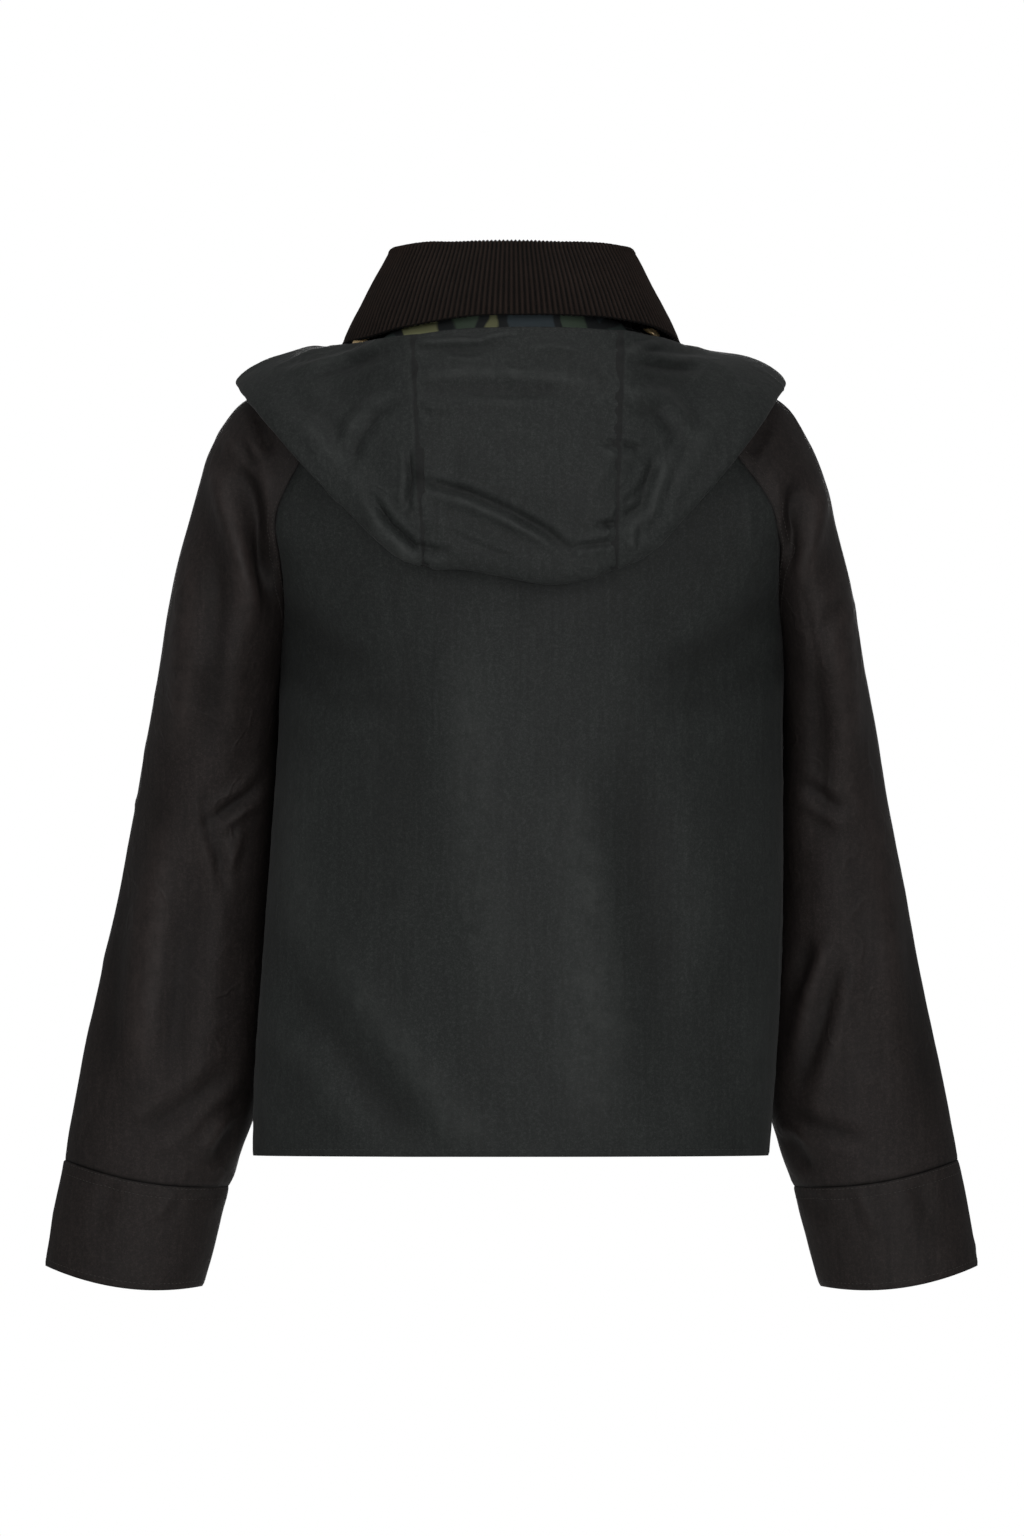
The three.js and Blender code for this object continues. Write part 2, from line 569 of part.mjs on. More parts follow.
// Collar. Its section runs up the stand, over the fold and down the fall.
function collarSection(angle) {
  const place = placeOf(COLLAR_SECTIONS, (row) => row.angle, Math.abs(angle));
  const read = (key) => between(COLLAR_SECTIONS, place, (row) => row[key]);
  const neck = neckAt(angle);
  const foot = { r: neck.radius - WALL / 2, z: neck.z + COLLAR_SEAT };
  const top = { r: read("topR"), z: read("topZ") };
  const edge = { r: read("edgeR"), z: read(angle > 0 ? "leftZ" : "rightZ") };
  const roll = COLLAR_ROLL;
  const half = COLLAR_WALL / 2;
  const fallRun = Math.hypot(edge.r - top.r, edge.z - top.z);
  const out = { r: (top.z - edge.z) / fallRun, z: (edge.r - top.r) / fallRun };
  const standTop = { r: top.r - 2 * roll, z: top.z - roll };
  const plain = [
    { r: foot.r + half, z: foot.z },
    { r: (foot.r + standTop.r) / 2 + half + 0.2, z: (foot.z + standTop.z) / 2 },
    { r: standTop.r + COLLAR_WALL, z: standTop.z },
    { r: top.r - roll, z: top.z - COLLAR_WALL },
    { r: top.r - COLLAR_WALL * out.r, z: top.z - roll - COLLAR_WALL * out.z },
    { r: (top.r + edge.r) / 2 - COLLAR_WALL * out.r, z: (top.z + edge.z) / 2 - COLLAR_WALL * out.z },
    { r: edge.r - COLLAR_WALL * out.r, z: edge.z - COLLAR_WALL * out.z + 1 },
  ];
  const inside = [
    { r: foot.r - half, z: foot.z },
    { r: (foot.r + standTop.r) / 2 - half + 0.2, z: (foot.z + standTop.z) / 2 },
    { r: standTop.r, z: standTop.z },
    { r: top.r - roll, z: top.z },
  ];
  const ribbed = [
    { r: top.r - roll, z: top.z },
    { r: top.r - 0.2, z: top.z - roll * 0.9 },
    { r: top.r * 0.5 + edge.r * 0.5 + 1.2, z: (top.z + edge.z) / 2 },
    { r: edge.r, z: edge.z },
  ];
  return { plain, inside, ribbed, out };
}

function collarGeometry() {
  const middleRadius = 101;
  const wales = Math.round(2 * radians(COLLAR_END) * middleRadius / WALE_PITCH / 3) * 3;
  const fineCount = wales * 2;
  const coarseCount = fineCount / FINE_PER_COARSE;
  const angleOf = (share) => COLLAR_END - 2 * COLLAR_END * share;
  const coarse = [];
  for (let k = 0; k <= coarseCount; k += 1) {
    const angle = angleOf(k / coarseCount);
    const { plain, inside } = collarSection(angle);
    const seen = [...plain.slice().reverse(), ...inside.slice(0, -1)];
    coarse.push(seen.map((point) => aroundNeck(angle, point.r, point.z)));
  }
  const fine = [];
  for (let k = 0; k <= fineCount; k += 1) {
    const angle = angleOf(k / fineCount);
    const { ribbed, out } = collarSection(angle);
    fine.push(ribbed.map((point, row) => {
      const sunk = k % 2 === 1 && row > 0 ? WALE_HEIGHT : 0;
      return aroundNeck(angle, point.r - sunk * out.r, point.z - sunk * out.z);
    }));
  }
  const points = [];
  const index = [];
  const keep = (point) => points.push(point) - 1;
  const coarseIds = coarse.map((row) => row.map(keep));
  const fineIds = fine.map((row) => row.map(keep));
  const quad = (a, b, c, d) => index.push(a, b, c, a, c, d);
  for (let k = 0; k < coarseCount; k += 1) {
    for (let i = 0; i < coarse[0].length - 1; i += 1) {
      quad(coarseIds[k][i], coarseIds[k][i + 1], coarseIds[k + 1][i + 1], coarseIds[k + 1][i]);
    }
  }
  const bottom = fine[0].length - 1;
  for (let k = 0; k < fineCount; k += 1) {
    for (let i = 0; i < bottom; i += 1) {
      quad(fineIds[k][i], fineIds[k][i + 1], fineIds[k + 1][i + 1], fineIds[k + 1][i]);
    }
  }
  // The plain rows meet the ribbed rows in fans, at the fold and along the lower edge.
  const top = coarse[0].length - 1;
  for (let k = 0; k < coarseCount; k += 1) {
    const first = k * FINE_PER_COARSE;
    const turn = FINE_PER_COARSE / 2;
    for (let m = 0; m < FINE_PER_COARSE; m += 1) {
      const near = m < turn ? k : k + 1;
      index.push(coarseIds[near][top], fineIds[first + m][0], fineIds[first + m + 1][0]);
      index.push(coarseIds[near][0], fineIds[first + m + 1][bottom], fineIds[first + m][bottom]);
    }
    index.push(coarseIds[k][top], fineIds[first + turn][0], coarseIds[k + 1][top]);
    index.push(coarseIds[k + 1][0], fineIds[first + turn][bottom], coarseIds[k][0]);
  }
  for (const end of [0, 1]) {
    const c = coarseIds[end ? coarseCount : 0];
    const f = fineIds[end ? fineCount : 0];
    const lower = [c[0], c[1], c[2], c[3], c[4], c[5], c[6]];
    const upper = [f[3], f[2], f[1], f[0], c[9], c[8], c[7]];
    for (let i = 0; i < lower.length - 1; i += 1) {
      const ring = [lower[i], upper[i], upper[i + 1], lower[i + 1]];
      const order = end ? ring.slice().reverse() : ring;
      quad(...order);
    }
  }
  return closedGeometry(points.flatMap((p) => [p.x, p.y, p.z]), index);
}
addPiece("collar", collarGeometry(), "corduroy");

// Hood. Each station's section runs from the rim down the outer leaf, round the fold
// and up the under leaf to the neck.
const bodyTriangles = [];
for (const grid of [back, fronts[1], fronts[-1], sleeves[1].grid, sleeves[-1].grid]) {
  for (let i = 0; i < Math.min(16, grid.length - 1); i += 1) {
    for (let j = 0; j < grid[0].length - 1; j += 1) {
      const [a, b, c, d] = [grid[i][j], grid[i + 1][j], grid[i + 1][j + 1], grid[i][j + 1]];
      bodyTriangles.push(new THREE.Triangle(a, b, c), new THREE.Triangle(a, c, d));
    }
  }
}
const bodyCore = new THREE.Vector3(0, 0, -150);

// Moves a point out from the shoulders where it lies nearer to them than it may.
function clearOfBody(point, clear) {
  const nearest = new THREE.Vector3();
  const found = new THREE.Vector3();
  let owner = null;
  let best = Infinity;
  for (const triangle of bodyTriangles) {
    triangle.closestPointToPoint(point, nearest);
    const away = nearest.distanceToSquared(point);
    if (away < best) {
      best = away;
      found.copy(nearest);
      owner = triangle;
    }
  }
  const direction = owner.getNormal(new THREE.Vector3());
  const core = bodyCore.clone().setX(found.x * 0.8);
  if (direction.dot(found.clone().sub(core)) < 0) {
    direction.negate();
  }
  if (point.clone().sub(found).dot(direction) < clear) {
    point.copy(found).addScaledVector(direction, clear);
  }
  return point;
}

const HOOD_PROFILE = [
  { down: 0, puff: 0 },
  { down: 0.12, puff: 6 },
  { down: 0.27, puff: 13 },
  { down: 0.44, puff: 18 },
  { down: 0.62, puff: 19 },
  { down: 0.79, puff: 15 },
  { down: 0.92, puff: 8.5 },
  { down: 1, puff: 0 },
];
const HOOD_UNDER = [0.05, 0.2, 0.4, 0.6, 0.78, 0.9, 1];

function stationPoint(stations, place, key) {
  return new THREE.Vector3(...[0, 1, 2].map((axis) => between(stations, place, (row) => row[key][axis])));
}

function hoodSection(stations, place) {
  const rim = stationPoint(stations, place, "rim");
  const fold = stationPoint(stations, place, "fold");
  const base = stationPoint(stations, place, "base");
  const last = stations.length - 1;
  const before = stationPoint(stations, Math.max(0, place - 0.2), "fold");
  const after = stationPoint(stations, Math.min(last, place + 0.2), "fold");
  const drop = fold.clone().sub(rim);
  const out = after.sub(before).cross(drop).normalize();
  if (out.dot(rim.clone().add(fold).multiplyScalar(0.5).sub(bodyCore)) < 0) {
    out.negate();
  }
  const size = Math.min(1, 0.1 + drop.length() / 200);
  const points = HOOD_PROFILE.map((step) => {
    return rim.clone().addScaledVector(drop, step.down).addScaledVector(out, step.puff * size);
  });
  const keepOut = HOOD_CLEAR + HOOD_WALL;
  const under = HOOD_UNDER.map((share, k) => {
    const point = fold.clone().lerp(base, share);
    if (share < 1) {
      point.addScaledVector(out, -30 * Math.sin(Math.PI * Math.min(1, share * 1.6)) * size);
    }
    return clearOfBody(point, k === 0 ? keepOut + 1.5 : keepOut);
  });
  points[points.length - 1] = clearOfBody(points[points.length - 1], keepOut + 6);
  return [...points, ...under];
}

function hoodGrid(stations, from, to, count) {
  const grid = [];
  for (let k = 0; k <= count; k += 1) {
    grid.push(hoodSection(stations, from + (to - from) * k / count));
  }
  return grid;
}

const half = HOOD_COLUMNS.centre / 2;
const lastStation = HOOD_LEFT.length - 1;
const hoodLeft = hoodGrid(HOOD_LEFT, lastStation, HOOD_SEAM, HOOD_COLUMNS.side);
const hoodMiddle = [
  ...hoodGrid(HOOD_LEFT, HOOD_SEAM, 0, half),
  ...hoodGrid(HOOD_RIGHT, 0, HOOD_SEAM, half).slice(1),
];
const hoodRight = hoodGrid(HOOD_RIGHT, HOOD_SEAM, lastStation, HOOD_COLUMNS.side);
const wholeHood = [...hoodLeft, ...hoodMiddle.slice(1), ...hoodRight.slice(1)];
const hoodFacing = new THREE.Vector3(0, 1, 0);

// Directions with the middle taken on the outer leaf, where outwards is backwards.
function hoodDirections(grid) {
  const normals = directions(grid, hoodFacing);
  const probe = normals[Math.floor(grid.length / 2)][4];
  const turn = probe.y < 0 ? -1 : 1;
  return normals.map((row) => row.map((direction) => direction.multiplyScalar(turn)));
}

const plainHoodNormals = hoodDirections(wholeHood);
const hood = raiseGrid(wholeHood, plainHoodNormals, (point, direction, i, j) => {
  const onOuterLeaf = smoothStep(j / 1.5) * smoothStep((HOOD_PROFILE.length - 1 - j) / 2);
  return foldRise(HOOD_FOLDS, point.x, point.z, () => 1) * onOuterLeaf;
});
const hoodNormals = hoodDirections(hood);
const hoodCuts = [0, HOOD_COLUMNS.side, HOOD_COLUMNS.side + HOOD_COLUMNS.centre, hood.length - 1];
["hood_left", "hood_centre", "hood_right"].forEach((name, k) => {
  const [from, to] = [hoodCuts[k], hoodCuts[k + 1]];
  const outer = hood.slice(from, to + 1).map((row) => row.map((point) => point.clone()));
  const normals = hoodNormals.slice(from, to + 1);
  const open = (edge, next) => {
    outer[edge].forEach((point, j) => {
      const step = outer[next][j].clone().sub(point).normalize();
      point.addScaledVector(step, SEAM_GAP * 0.7);
    });
  };
  if (k > 0) {
    open(0, 1);
  }
  if (k < 2) {
    open(outer.length - 1, outer.length - 2);
  }
  addPiece(name, wallGeometry(outer, offsetGrid(outer, normals, -HOOD_WALL)), "shell");
});

// Lining: the strip that shows inside the bag, on the under leaf next to the neck.
const LINING_RUN = { from: HOOD_COLUMNS.side - 5, to: HOOD_COLUMNS.side + HOOD_COLUMNS.centre + 4 };
const liningOuter = [];
const liningInner = [];
for (let i = LINING_RUN.from; i <= LINING_RUN.to; i += 1) {
  const outerRow = [];
  const innerRow = [];
  for (let j = hood[0].length - 4; j < hood[0].length; j += 1) {
    const away = hoodNormals[i][j];
    innerRow.push(hood[i][j].clone().addScaledVector(away, -HOOD_WALL - 1.4 * SEAM_GAP));
    outerRow.push(hood[i][j].clone().addScaledVector(away, -HOOD_WALL - 1.4 * SEAM_GAP - LINING_WALL));
  }
  outerRow[3].lerp(outerRow[2], 0.15);
  innerRow[3].lerp(innerRow[2], 0.15);
  liningOuter.push(outerRow);
  liningInner.push(innerRow);
}
addPiece("hood_lining", wallGeometry(liningOuter, liningInner), "lining");

// Press studs: a low dome on a flat back.
function studGeometry(radius, height) {
  const profile = [
    [0, 0],
    [radius, 0],
    [radius, height * 0.35],
    [radius * 0.86, height * 0.72],
    [radius * 0.5, height * 0.94],
    [0, height],
  ].map(([r, h]) => new THREE.Vector2(r, h));
  return new THREE.LatheGeometry(profile, 12);
}

function addStud(name, seat, away, radius, height) {
  const turned = new THREE.Quaternion().setFromUnitVectors(new THREE.Vector3(0, 1, 0), away);
  const geometry = studGeometry(radius, height).applyQuaternion(turned);
  geometry.deleteAttribute("normal");
  geometry.deleteAttribute("uv");
  const closed = closedGeometry(Array.from(geometry.getAttribute("position").array),
    Array.from(geometry.getIndex().array));
  const mesh = addPiece(name, closed, "brass");
  mesh.position.copy(seat).addScaledVector(away, SEAM_GAP + 0.15);
}

// The place on a grid's outer face at a height, along one column.
function placeOnColumn(grid, normals, column, z) {
  let i = 0;
  while (i < grid.length - 2 && grid[i + 1][column].z > z) {
    i += 1;
  }
  const share = (z - grid[i][column].z) / (grid[i + 1][column].z - grid[i][column].z);
  return {
    seat: grid[i][column].clone().lerp(grid[i + 1][column], share),
    away: normals[i][column].clone().lerp(normals[i + 1][column], share).normalize(),
  };
}

// The middle of the cell of the hood's under leaf that lies nearest to a place.
function placeOnHood(target) {
  let best = Infinity;
  const found = { seat: new THREE.Vector3(), away: new THREE.Vector3() };
  for (let i = 0; i < hood.length - 1; i += 1) {
    for (let j = HOOD_PROFILE.length; j < hood[0].length - 1; j += 1) {
      const cells = [[i, j], [i + 1, j], [i, j + 1], [i + 1, j + 1]];
      const middle = new THREE.Vector3();
      cells.forEach(([a, b]) => middle.addScaledVector(hood[a][b], 0.25));
      const away = middle.distanceTo(target);
      if (away < best) {
        best = away;
        found.away.set(0, 0, 0);
        cells.forEach(([a, b]) => found.away.addScaledVector(hoodNormals[a][b], -1));
        found.away.normalize();
        found.seat.copy(middle).addScaledVector(found.away, HOOD_WALL + 0.2);
      }
    }
  }
  return found;
}

for (const side of [1, -1]) {
  const { seat, away } = placeOnHood(new THREE.Vector3(...HOOD_STUDS[side]));
  addStud(`hood_stud_${sideNames[side]}`, seat, away, STUD_RADIUS, 2.4);
}
FRONT_STUD_HEIGHTS.forEach((z, k) => {
  const { seat, away } = placeOnColumn(fronts[-1], frontNormals[-1], FRONT_COLUMNS - 1, z);
  addStud(`front_stud_${k + 1}`, seat, away, STUD_RADIUS, 2.2);
});

export default group;
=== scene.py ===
import math
import bmesh
import bpy
import numpy as np
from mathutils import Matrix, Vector, noise
from mathutils.bvhtree import BVHTree


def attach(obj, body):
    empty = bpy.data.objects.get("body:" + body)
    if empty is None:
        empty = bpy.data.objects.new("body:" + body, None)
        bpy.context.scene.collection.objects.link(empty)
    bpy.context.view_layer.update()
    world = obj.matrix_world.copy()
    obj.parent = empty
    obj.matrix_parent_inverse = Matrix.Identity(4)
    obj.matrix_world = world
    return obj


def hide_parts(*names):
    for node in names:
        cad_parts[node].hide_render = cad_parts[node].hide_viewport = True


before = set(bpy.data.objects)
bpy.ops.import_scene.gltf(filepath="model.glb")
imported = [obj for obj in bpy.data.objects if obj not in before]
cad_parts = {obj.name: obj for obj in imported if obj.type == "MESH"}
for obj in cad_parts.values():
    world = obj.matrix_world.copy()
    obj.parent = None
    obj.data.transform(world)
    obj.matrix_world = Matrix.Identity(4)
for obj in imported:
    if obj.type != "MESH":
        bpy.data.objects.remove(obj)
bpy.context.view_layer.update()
MM = 0.001

# Camera. It looks at the back from far off, level, at the height of the middle of the picture.
# The picture's frame is 1106 mm high where the jacket hangs.
PICTURE_HEIGHT = 1105.9 * MM
PICTURE_MIDDLE_Z = -315.4 * MM
CAMERA_AWAY = 30.0
bpy.ops.object.camera_add(location=(-0.0004, CAMERA_AWAY + 0.06, PICTURE_MIDDLE_Z),
                          rotation=(math.pi / 2, 0, math.pi))
camera = bpy.context.object
camera.data.sensor_fit = "VERTICAL"
camera.data.sensor_height = 24
camera.data.lens = 24 * CAMERA_AWAY / PICTURE_HEIGHT
camera.data.clip_end = 80
bpy.context.scene.camera = camera

# Studio: a pale floor at a standing wearer's feet, a white room, and soft lamps.
FLOOR_Z = -1.42
bpy.ops.mesh.primitive_plane_add(size=9, location=(0, 0, FLOOR_Z))
floor = bpy.context.object
floor.name = "floor"
pale = bpy.data.materials.new("pale_floor")
pale.use_nodes = True
pale.node_tree.nodes["Principled BSDF"].inputs["Base Color"].default_value = (0.86, 0.86, 0.85, 1)
pale.node_tree.nodes["Principled BSDF"].inputs["Roughness"].default_value = 0.8
floor.data.materials.append(pale)

room = bpy.data.worlds.new("white_room")
room.use_nodes = True
bpy.context.scene.world = room
tree = room.node_tree
glow = tree.nodes["Background"]
glow.inputs["Color"].default_value = (1, 1, 1, 1)
glow.inputs["Strength"].default_value = 0.2
seen = tree.nodes.new("ShaderNodeBackground")
seen.inputs["Color"].default_value = (1, 1, 1, 1)
seen.inputs["Strength"].default_value = 1.0
path = tree.nodes.new("ShaderNodeLightPath")
either = tree.nodes.new("ShaderNodeMixShader")
tree.links.new(path.outputs["Is Camera Ray"], either.inputs["Fac"])
tree.links.new(glow.outputs["Background"], either.inputs[1])
tree.links.new(seen.outputs["Background"], either.inputs[2])
tree.links.new(either.outputs["Shader"], tree.nodes["World Output"].inputs["Surface"])
bpy.context.scene.view_settings.view_transform = "Standard"

LAMPS = [
    {"name": "key_lamp", "at": (2.2, 3.6, 1.0), "size": 2.2, "power": 30},
    {"name": "fill_lamp", "at": (-1.9, 3.6, 1.3), "size": 2.4, "power": 30},
    {"name": "low_lamp", "at": (-0.6, 3.8, -1.0), "size": 2.4, "power": 50},
    {"name": "top_lamp", "at": (0.2, 1.2, 2.6), "size": 1.6, "power": 24},
    {"name": "front_lamp", "at": (0.0, -4.0, 0.0), "size": 1.8, "power": 56},
]
for lamp in LAMPS:
    bpy.ops.object.light_add(type="AREA", location=lamp["at"])
    light = bpy.context.object
    light.name = lamp["name"]
    light.data.size = lamp["size"]
    light.data.energy = lamp["power"]
    aim = Vector((0, 0, -0.3)) - Vector(lamp["at"])
    light.rotation_euler = aim.to_track_quat("-Z", "Y").to_euler()


# Back: one panel of waxed cotton from the neck to a straight hem, cut raglan at the shoulders
# and sewn to the fronts at the sides. Its cloth is the outer face of its solid, made smooth,
# creased and given back its thickness.
SHELL_CLOTH = 1.5 * MM
MERGE = 0.02 * MM


def select_only(piece):
    bpy.ops.object.select_all(action="DESELECT")
    piece.select_set(True)
    bpy.context.view_layer.objects.active = piece


def rounded(piece, levels):
    """Subdivides a piece smoothly, with its sharp corners kept."""
    select_only(piece)
    smooth = piece.modifiers.new("rounding", "SUBSURF")
    smooth.levels = levels
    smooth.render_levels = levels
    smooth.boundary_smooth = "PRESERVE_CORNERS"
    bpy.ops.object.modifier_apply(modifier=smooth.name)


def rounded_through(piece, levels):
    """Rounds a piece so that it still passes through its own corners: rounding pulls them in,
    so they are first moved out by as much as a trial shows."""
    wanted = points_of(piece)
    cage = wanted.copy()
    for _ in range(3):
        trial = piece.copy()
        trial.data = piece.data.copy()
        bpy.context.collection.objects.link(trial)
        trial.data.vertices.foreach_set("co", cage.ravel())
        rounded(trial, 2)
        cage += wanted - points_of(trial)[:len(wanted)]
        bpy.data.objects.remove(trial)
    piece.data.vertices.foreach_set("co", cage.ravel())
    rounded(piece, levels)


def outer_cloth(node_name, piece_name, wall, levels=3):
    """The outer face of a solid as a new piece: merged, freed of its edge strips and inner
    face, turned back into four-sided cells and rounded."""
    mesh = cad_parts[node_name].data.copy()
    mesh.materials.clear()
    piece = bpy.data.objects.new(piece_name, mesh)
    bpy.context.collection.objects.link(piece)
    select_only(piece)
    cloth = bmesh.new()
    cloth.from_mesh(mesh)
    bmesh.ops.remove_doubles(cloth, verts=cloth.verts, dist=MERGE)
    strips = [face for face in cloth.faces
              if min(edge.calc_length() for edge in face.edges) < wall * 1.3]
    bmesh.ops.delete(cloth, geom=strips, context="FACES")
    sheets = loose_sheets(cloth)
    sheets.sort(key=lambda sheet: -sum(face.calc_area() for face in sheet))
    spare = [face for sheet in sheets[1:] for face in sheet]
    bmesh.ops.delete(cloth, geom=spare, context="FACES")
    diagonals = [edge for edge in cloth.edges if len(edge.link_faces) == 2
                 and all(edge.calc_length() >= max(e.calc_length() for e in face.edges) - 1e-7
                         for face in edge.link_faces)]
    bmesh.ops.dissolve_edges(cloth, edges=diagonals, use_verts=False)
    bmesh.ops.join_triangles(cloth, faces=cloth.faces, angle_face_threshold=math.pi,
                             angle_shape_threshold=math.pi)
    kept = cloth.verts.layers.float.new("crease_vert")
    for vertex in cloth.verts:
        cut = [edge.other_vert(vertex).co - vertex.co for edge in vertex.link_edges
               if edge.is_boundary]
        if len(cut) == 2 and cut[0].angle(cut[1]) < math.radians(125):
            vertex[kept] = 1
    cloth.to_mesh(mesh)
    cloth.free()
    rounded_through(piece, levels)
    return piece


def loose_sheets(cloth):
    """The faces of a mesh, in one list for each sheet that hangs together."""
    waiting = set(cloth.faces)
    sheets = []
    while waiting:
        sheet = []
        reached = [waiting.pop()]
        while reached:
            face = reached.pop()
            sheet.append(face)
            for edge in face.edges:
                for other in edge.link_faces:
                    if other in waiting:
                        waiting.remove(other)
                        reached.append(other)
        sheets.append(sheet)
    return sheets


def points_of(piece):
    points = np.empty(len(piece.data.vertices) * 3)
    piece.data.vertices.foreach_get("co", points)
    return points.reshape(-1, 3)


def normals_of(piece):
    normals = np.empty(len(piece.data.vertices) * 3)
    piece.data.vertex_normals.foreach_get("vector", normals)
    return normals.reshape(-1, 3)


def soft_step(value):
    share = np.clip(value, 0, 1)
    return share * share * (3 - 2 * share)


def crease_rise(points, normals, creases, facing):
    """How far creases lift each point, in metres. A crease is its half width, its depth, which
    is below zero for a trough, and its path of (x, z) places, all in millimetres. It works on
    cloth that faces the given way. Cloth pushed out of a trough rises a little beside it."""
    rise = np.zeros(len(points))
    x, z = points[:, 0] / MM, points[:, 2] / MM
    towards = soft_step((normals @ np.array(facing) + 0.3) / 0.7)
    for width, depth, *path in creases:
        path = np.array(path, float)
        runs = np.linalg.norm(np.diff(path, axis=0), axis=1)
        starts = np.concatenate([[0], np.cumsum(runs)])
        best = np.full(len(points), 1e9)
        along = np.zeros(len(points))
        for k, run in enumerate(runs):
            (x0, z0), (x1, z1) = path[k], path[k + 1]
            step = ((x - x0) * (x1 - x0) + (z - z0) * (z1 - z0)) / run ** 2
            low = -0.25 if k == 0 else 0
            high = 1.25 if k == len(runs) - 1 else 1
            step = np.clip(step, low, high)
            off = np.hypot(x - x0 - step * (x1 - x0), z - z0 - step * (z1 - z0))
            nearer = off < best
            best = np.where(nearer, off, best)
            along = np.where(nearer, starts[k] + step * run, along)
        whole = starts[-1]
        fade = soft_step((along / whole + 0.2) / 0.45) * soft_step((1.2 - along / whole) / 0.45)
        across = best / width
        shape = np.exp(-across ** 2) - 0.34 * np.exp(-((across - 1.75) / 0.85) ** 2)
        rise += depth * MM * shape * fade * towards
    return rise


def rumple(points, size, seed, stretch=(1, 1, 1)):
    """Soft unevenness between -1 and 1, with hollows about as wide as size in metres."""
    shift = Vector((seed * 3.1, seed * 1.7, seed * 2.3))
    scale = np.array(stretch) / size
    return np.array([noise.noise(Vector(point) + shift) for point in points * scale])


def edge_distance(piece, reach=40 * MM):
    """How far each point lies from the cloth's cut edge, up to reach, in metres."""
    edges = bmesh.new()
    edges.from_mesh(piece.data)
    border = [vertex.co.copy() for vertex in edges.verts if vertex.is_boundary]
    edges.free()
    border = np.array(border)
    points = points_of(piece)
    away = np.full(len(points), reach)
    for start in range(0, len(border), 64):
        part = border[start:start + 64]
        near = np.linalg.norm(points[:, None, :] - part[None, :, :], axis=2).min(axis=1)
        away = np.minimum(away, near)
    return away


def start_cloth(node_name, wall, levels=3):
    """The outer cloth of a solid whose wall is given in millimetres, with its points, their
    normals and how far each lies from a cut edge."""
    piece = outer_cloth(node_name, node_name + "_cloth", wall * MM, levels)
    return piece, points_of(piece), normals_of(piece), edge_distance(piece)


def from_seam(edge, least, gain, within):
    """A factor that is least at a cut edge and grows by gain within so many millimetres."""
    return least + gain * soft_step(edge / (within * MM))


def soft_cloth(points, edge, seed, broad, stretch, crumple=0.3):
    """Unevenness of worn cloth: broad waves, smaller dents, sharp little ridges where the wax
    has cracked, and puckers beside its seams."""
    inside = soft_step(edge / (26 * MM))
    rise = rumple(points, 0.105, seed, stretch) * broad * MM * inside
    rise += rumple(points, 0.042, seed + 0.3, (1, 1, 0.7)) * 0.34 * broad * MM * inside
    rise += rumple(points, 0.016, seed + 0.6) * 0.16 * MM * inside
    ridges = 1 - np.clip(np.abs(rumple(points, 0.052, seed + 0.4, (1, 1, 0.8))) / 0.22, 0, 1)
    some = soft_step(rumple(points, 0.07, seed + 0.5) * 2.2 + 0.4)
    rise += ridges ** 2 * some * crumple * 2.4 * MM * soft_step(edge / (10 * MM))
    puckers = np.exp(-edge / (7 * MM)) * soft_step(edge / (1.5 * MM))
    rise += rumple(points, 0.011, seed + 0.8) * 0.7 * MM * puckers
    rise -= 0.5 * MM * np.exp(-(edge / (1.6 * MM)) ** 2)
    return rise


def raise_cloth(piece, rise, edge, crumpled=1.0, moved=0.0):
    """Moves each point out along its normal by rise and moved, and keeps for the material what
    rose and sank, what lies at a seam and how crumpled the cloth is."""
    points = points_of(piece) + normals_of(piece) * (rise + moved)[:, None]
    piece.data.vertices.foreach_set("co", points.ravel())
    piece.data.update()
    # For the material: what rose shows wear, and what sank gets painted shade.
    marks = {"ridge_tone_and_shade": np.clip(rise / (3.5 * MM), -1, 1), "seam": np.exp(-(edge / (1.3 * MM)) ** 2),
             "crumpled": np.full(len(points), crumpled)}
    for name, values in marks.items():
        piece.data.attributes.new(name, "FLOAT", "POINT").data.foreach_set("value", values)


def tuck_under(piece, near=None, aside=0.0, reach=5.0, sink=1.8):
    """Gives a cloth a seam allowance that lies under its neighbour: a strip from its cut edge,
    or from the stretch of edge near the given points. In millimetres it reaches and sinks, and
    goes aside along x at the underarm, where the neighbour turns sharply away."""
    cloth = bmesh.new()
    cloth.from_mesh(piece.data)
    border = {edge for edge in cloth.edges if edge.is_boundary}
    if near is not None:
        border = {edge for edge in border
                  if all(np.linalg.norm(near - np.array(vertex.co), axis=1).min() < 0.2 * MM
                         for vertex in edge.verts)}
    ways = {}
    for vertex in {vertex for edge in border for vertex in edge.verts}:
        middle = sum((face.calc_center_median() for face in vertex.link_faces), Vector())
        inward = middle / len(vertex.link_faces) - vertex.co
        ends = [edge.other_vert(vertex).co for edge in vertex.link_edges if edge in border]
        along = (ends[0] - (ends[1] if len(ends) > 1 else vertex.co)).normalized()
        inward -= along * inward.dot(along)
        inward -= vertex.normal * inward.dot(vertex.normal)
        ways[vertex.index] = (-inward.normalized() * reach - vertex.normal * sink) * MM
        ways[vertex.index].x += aside * MM * float(soft_step((-0.14 - vertex.co.z) / 0.03))
    cloth.verts.ensure_lookup_table()
    places = {index: cloth.verts[index].co.copy() for index in ways}
    made = bmesh.ops.extrude_edge_only(cloth, edges=list(border))
    for vertex in [item for item in made["geom"] if isinstance(item, bmesh.types.BMVert)]:
        beside = [edge.other_vert(vertex).index for edge in vertex.link_edges]
        index = min((k for k in beside if k in ways), key=lambda k: (places[k] - vertex.co).length)
        vertex.co = places[index] + ways[index]
    bmesh.ops.recalc_face_normals(cloth, faces=cloth.faces)
    cloth.to_mesh(piece.data)
    cloth.free()


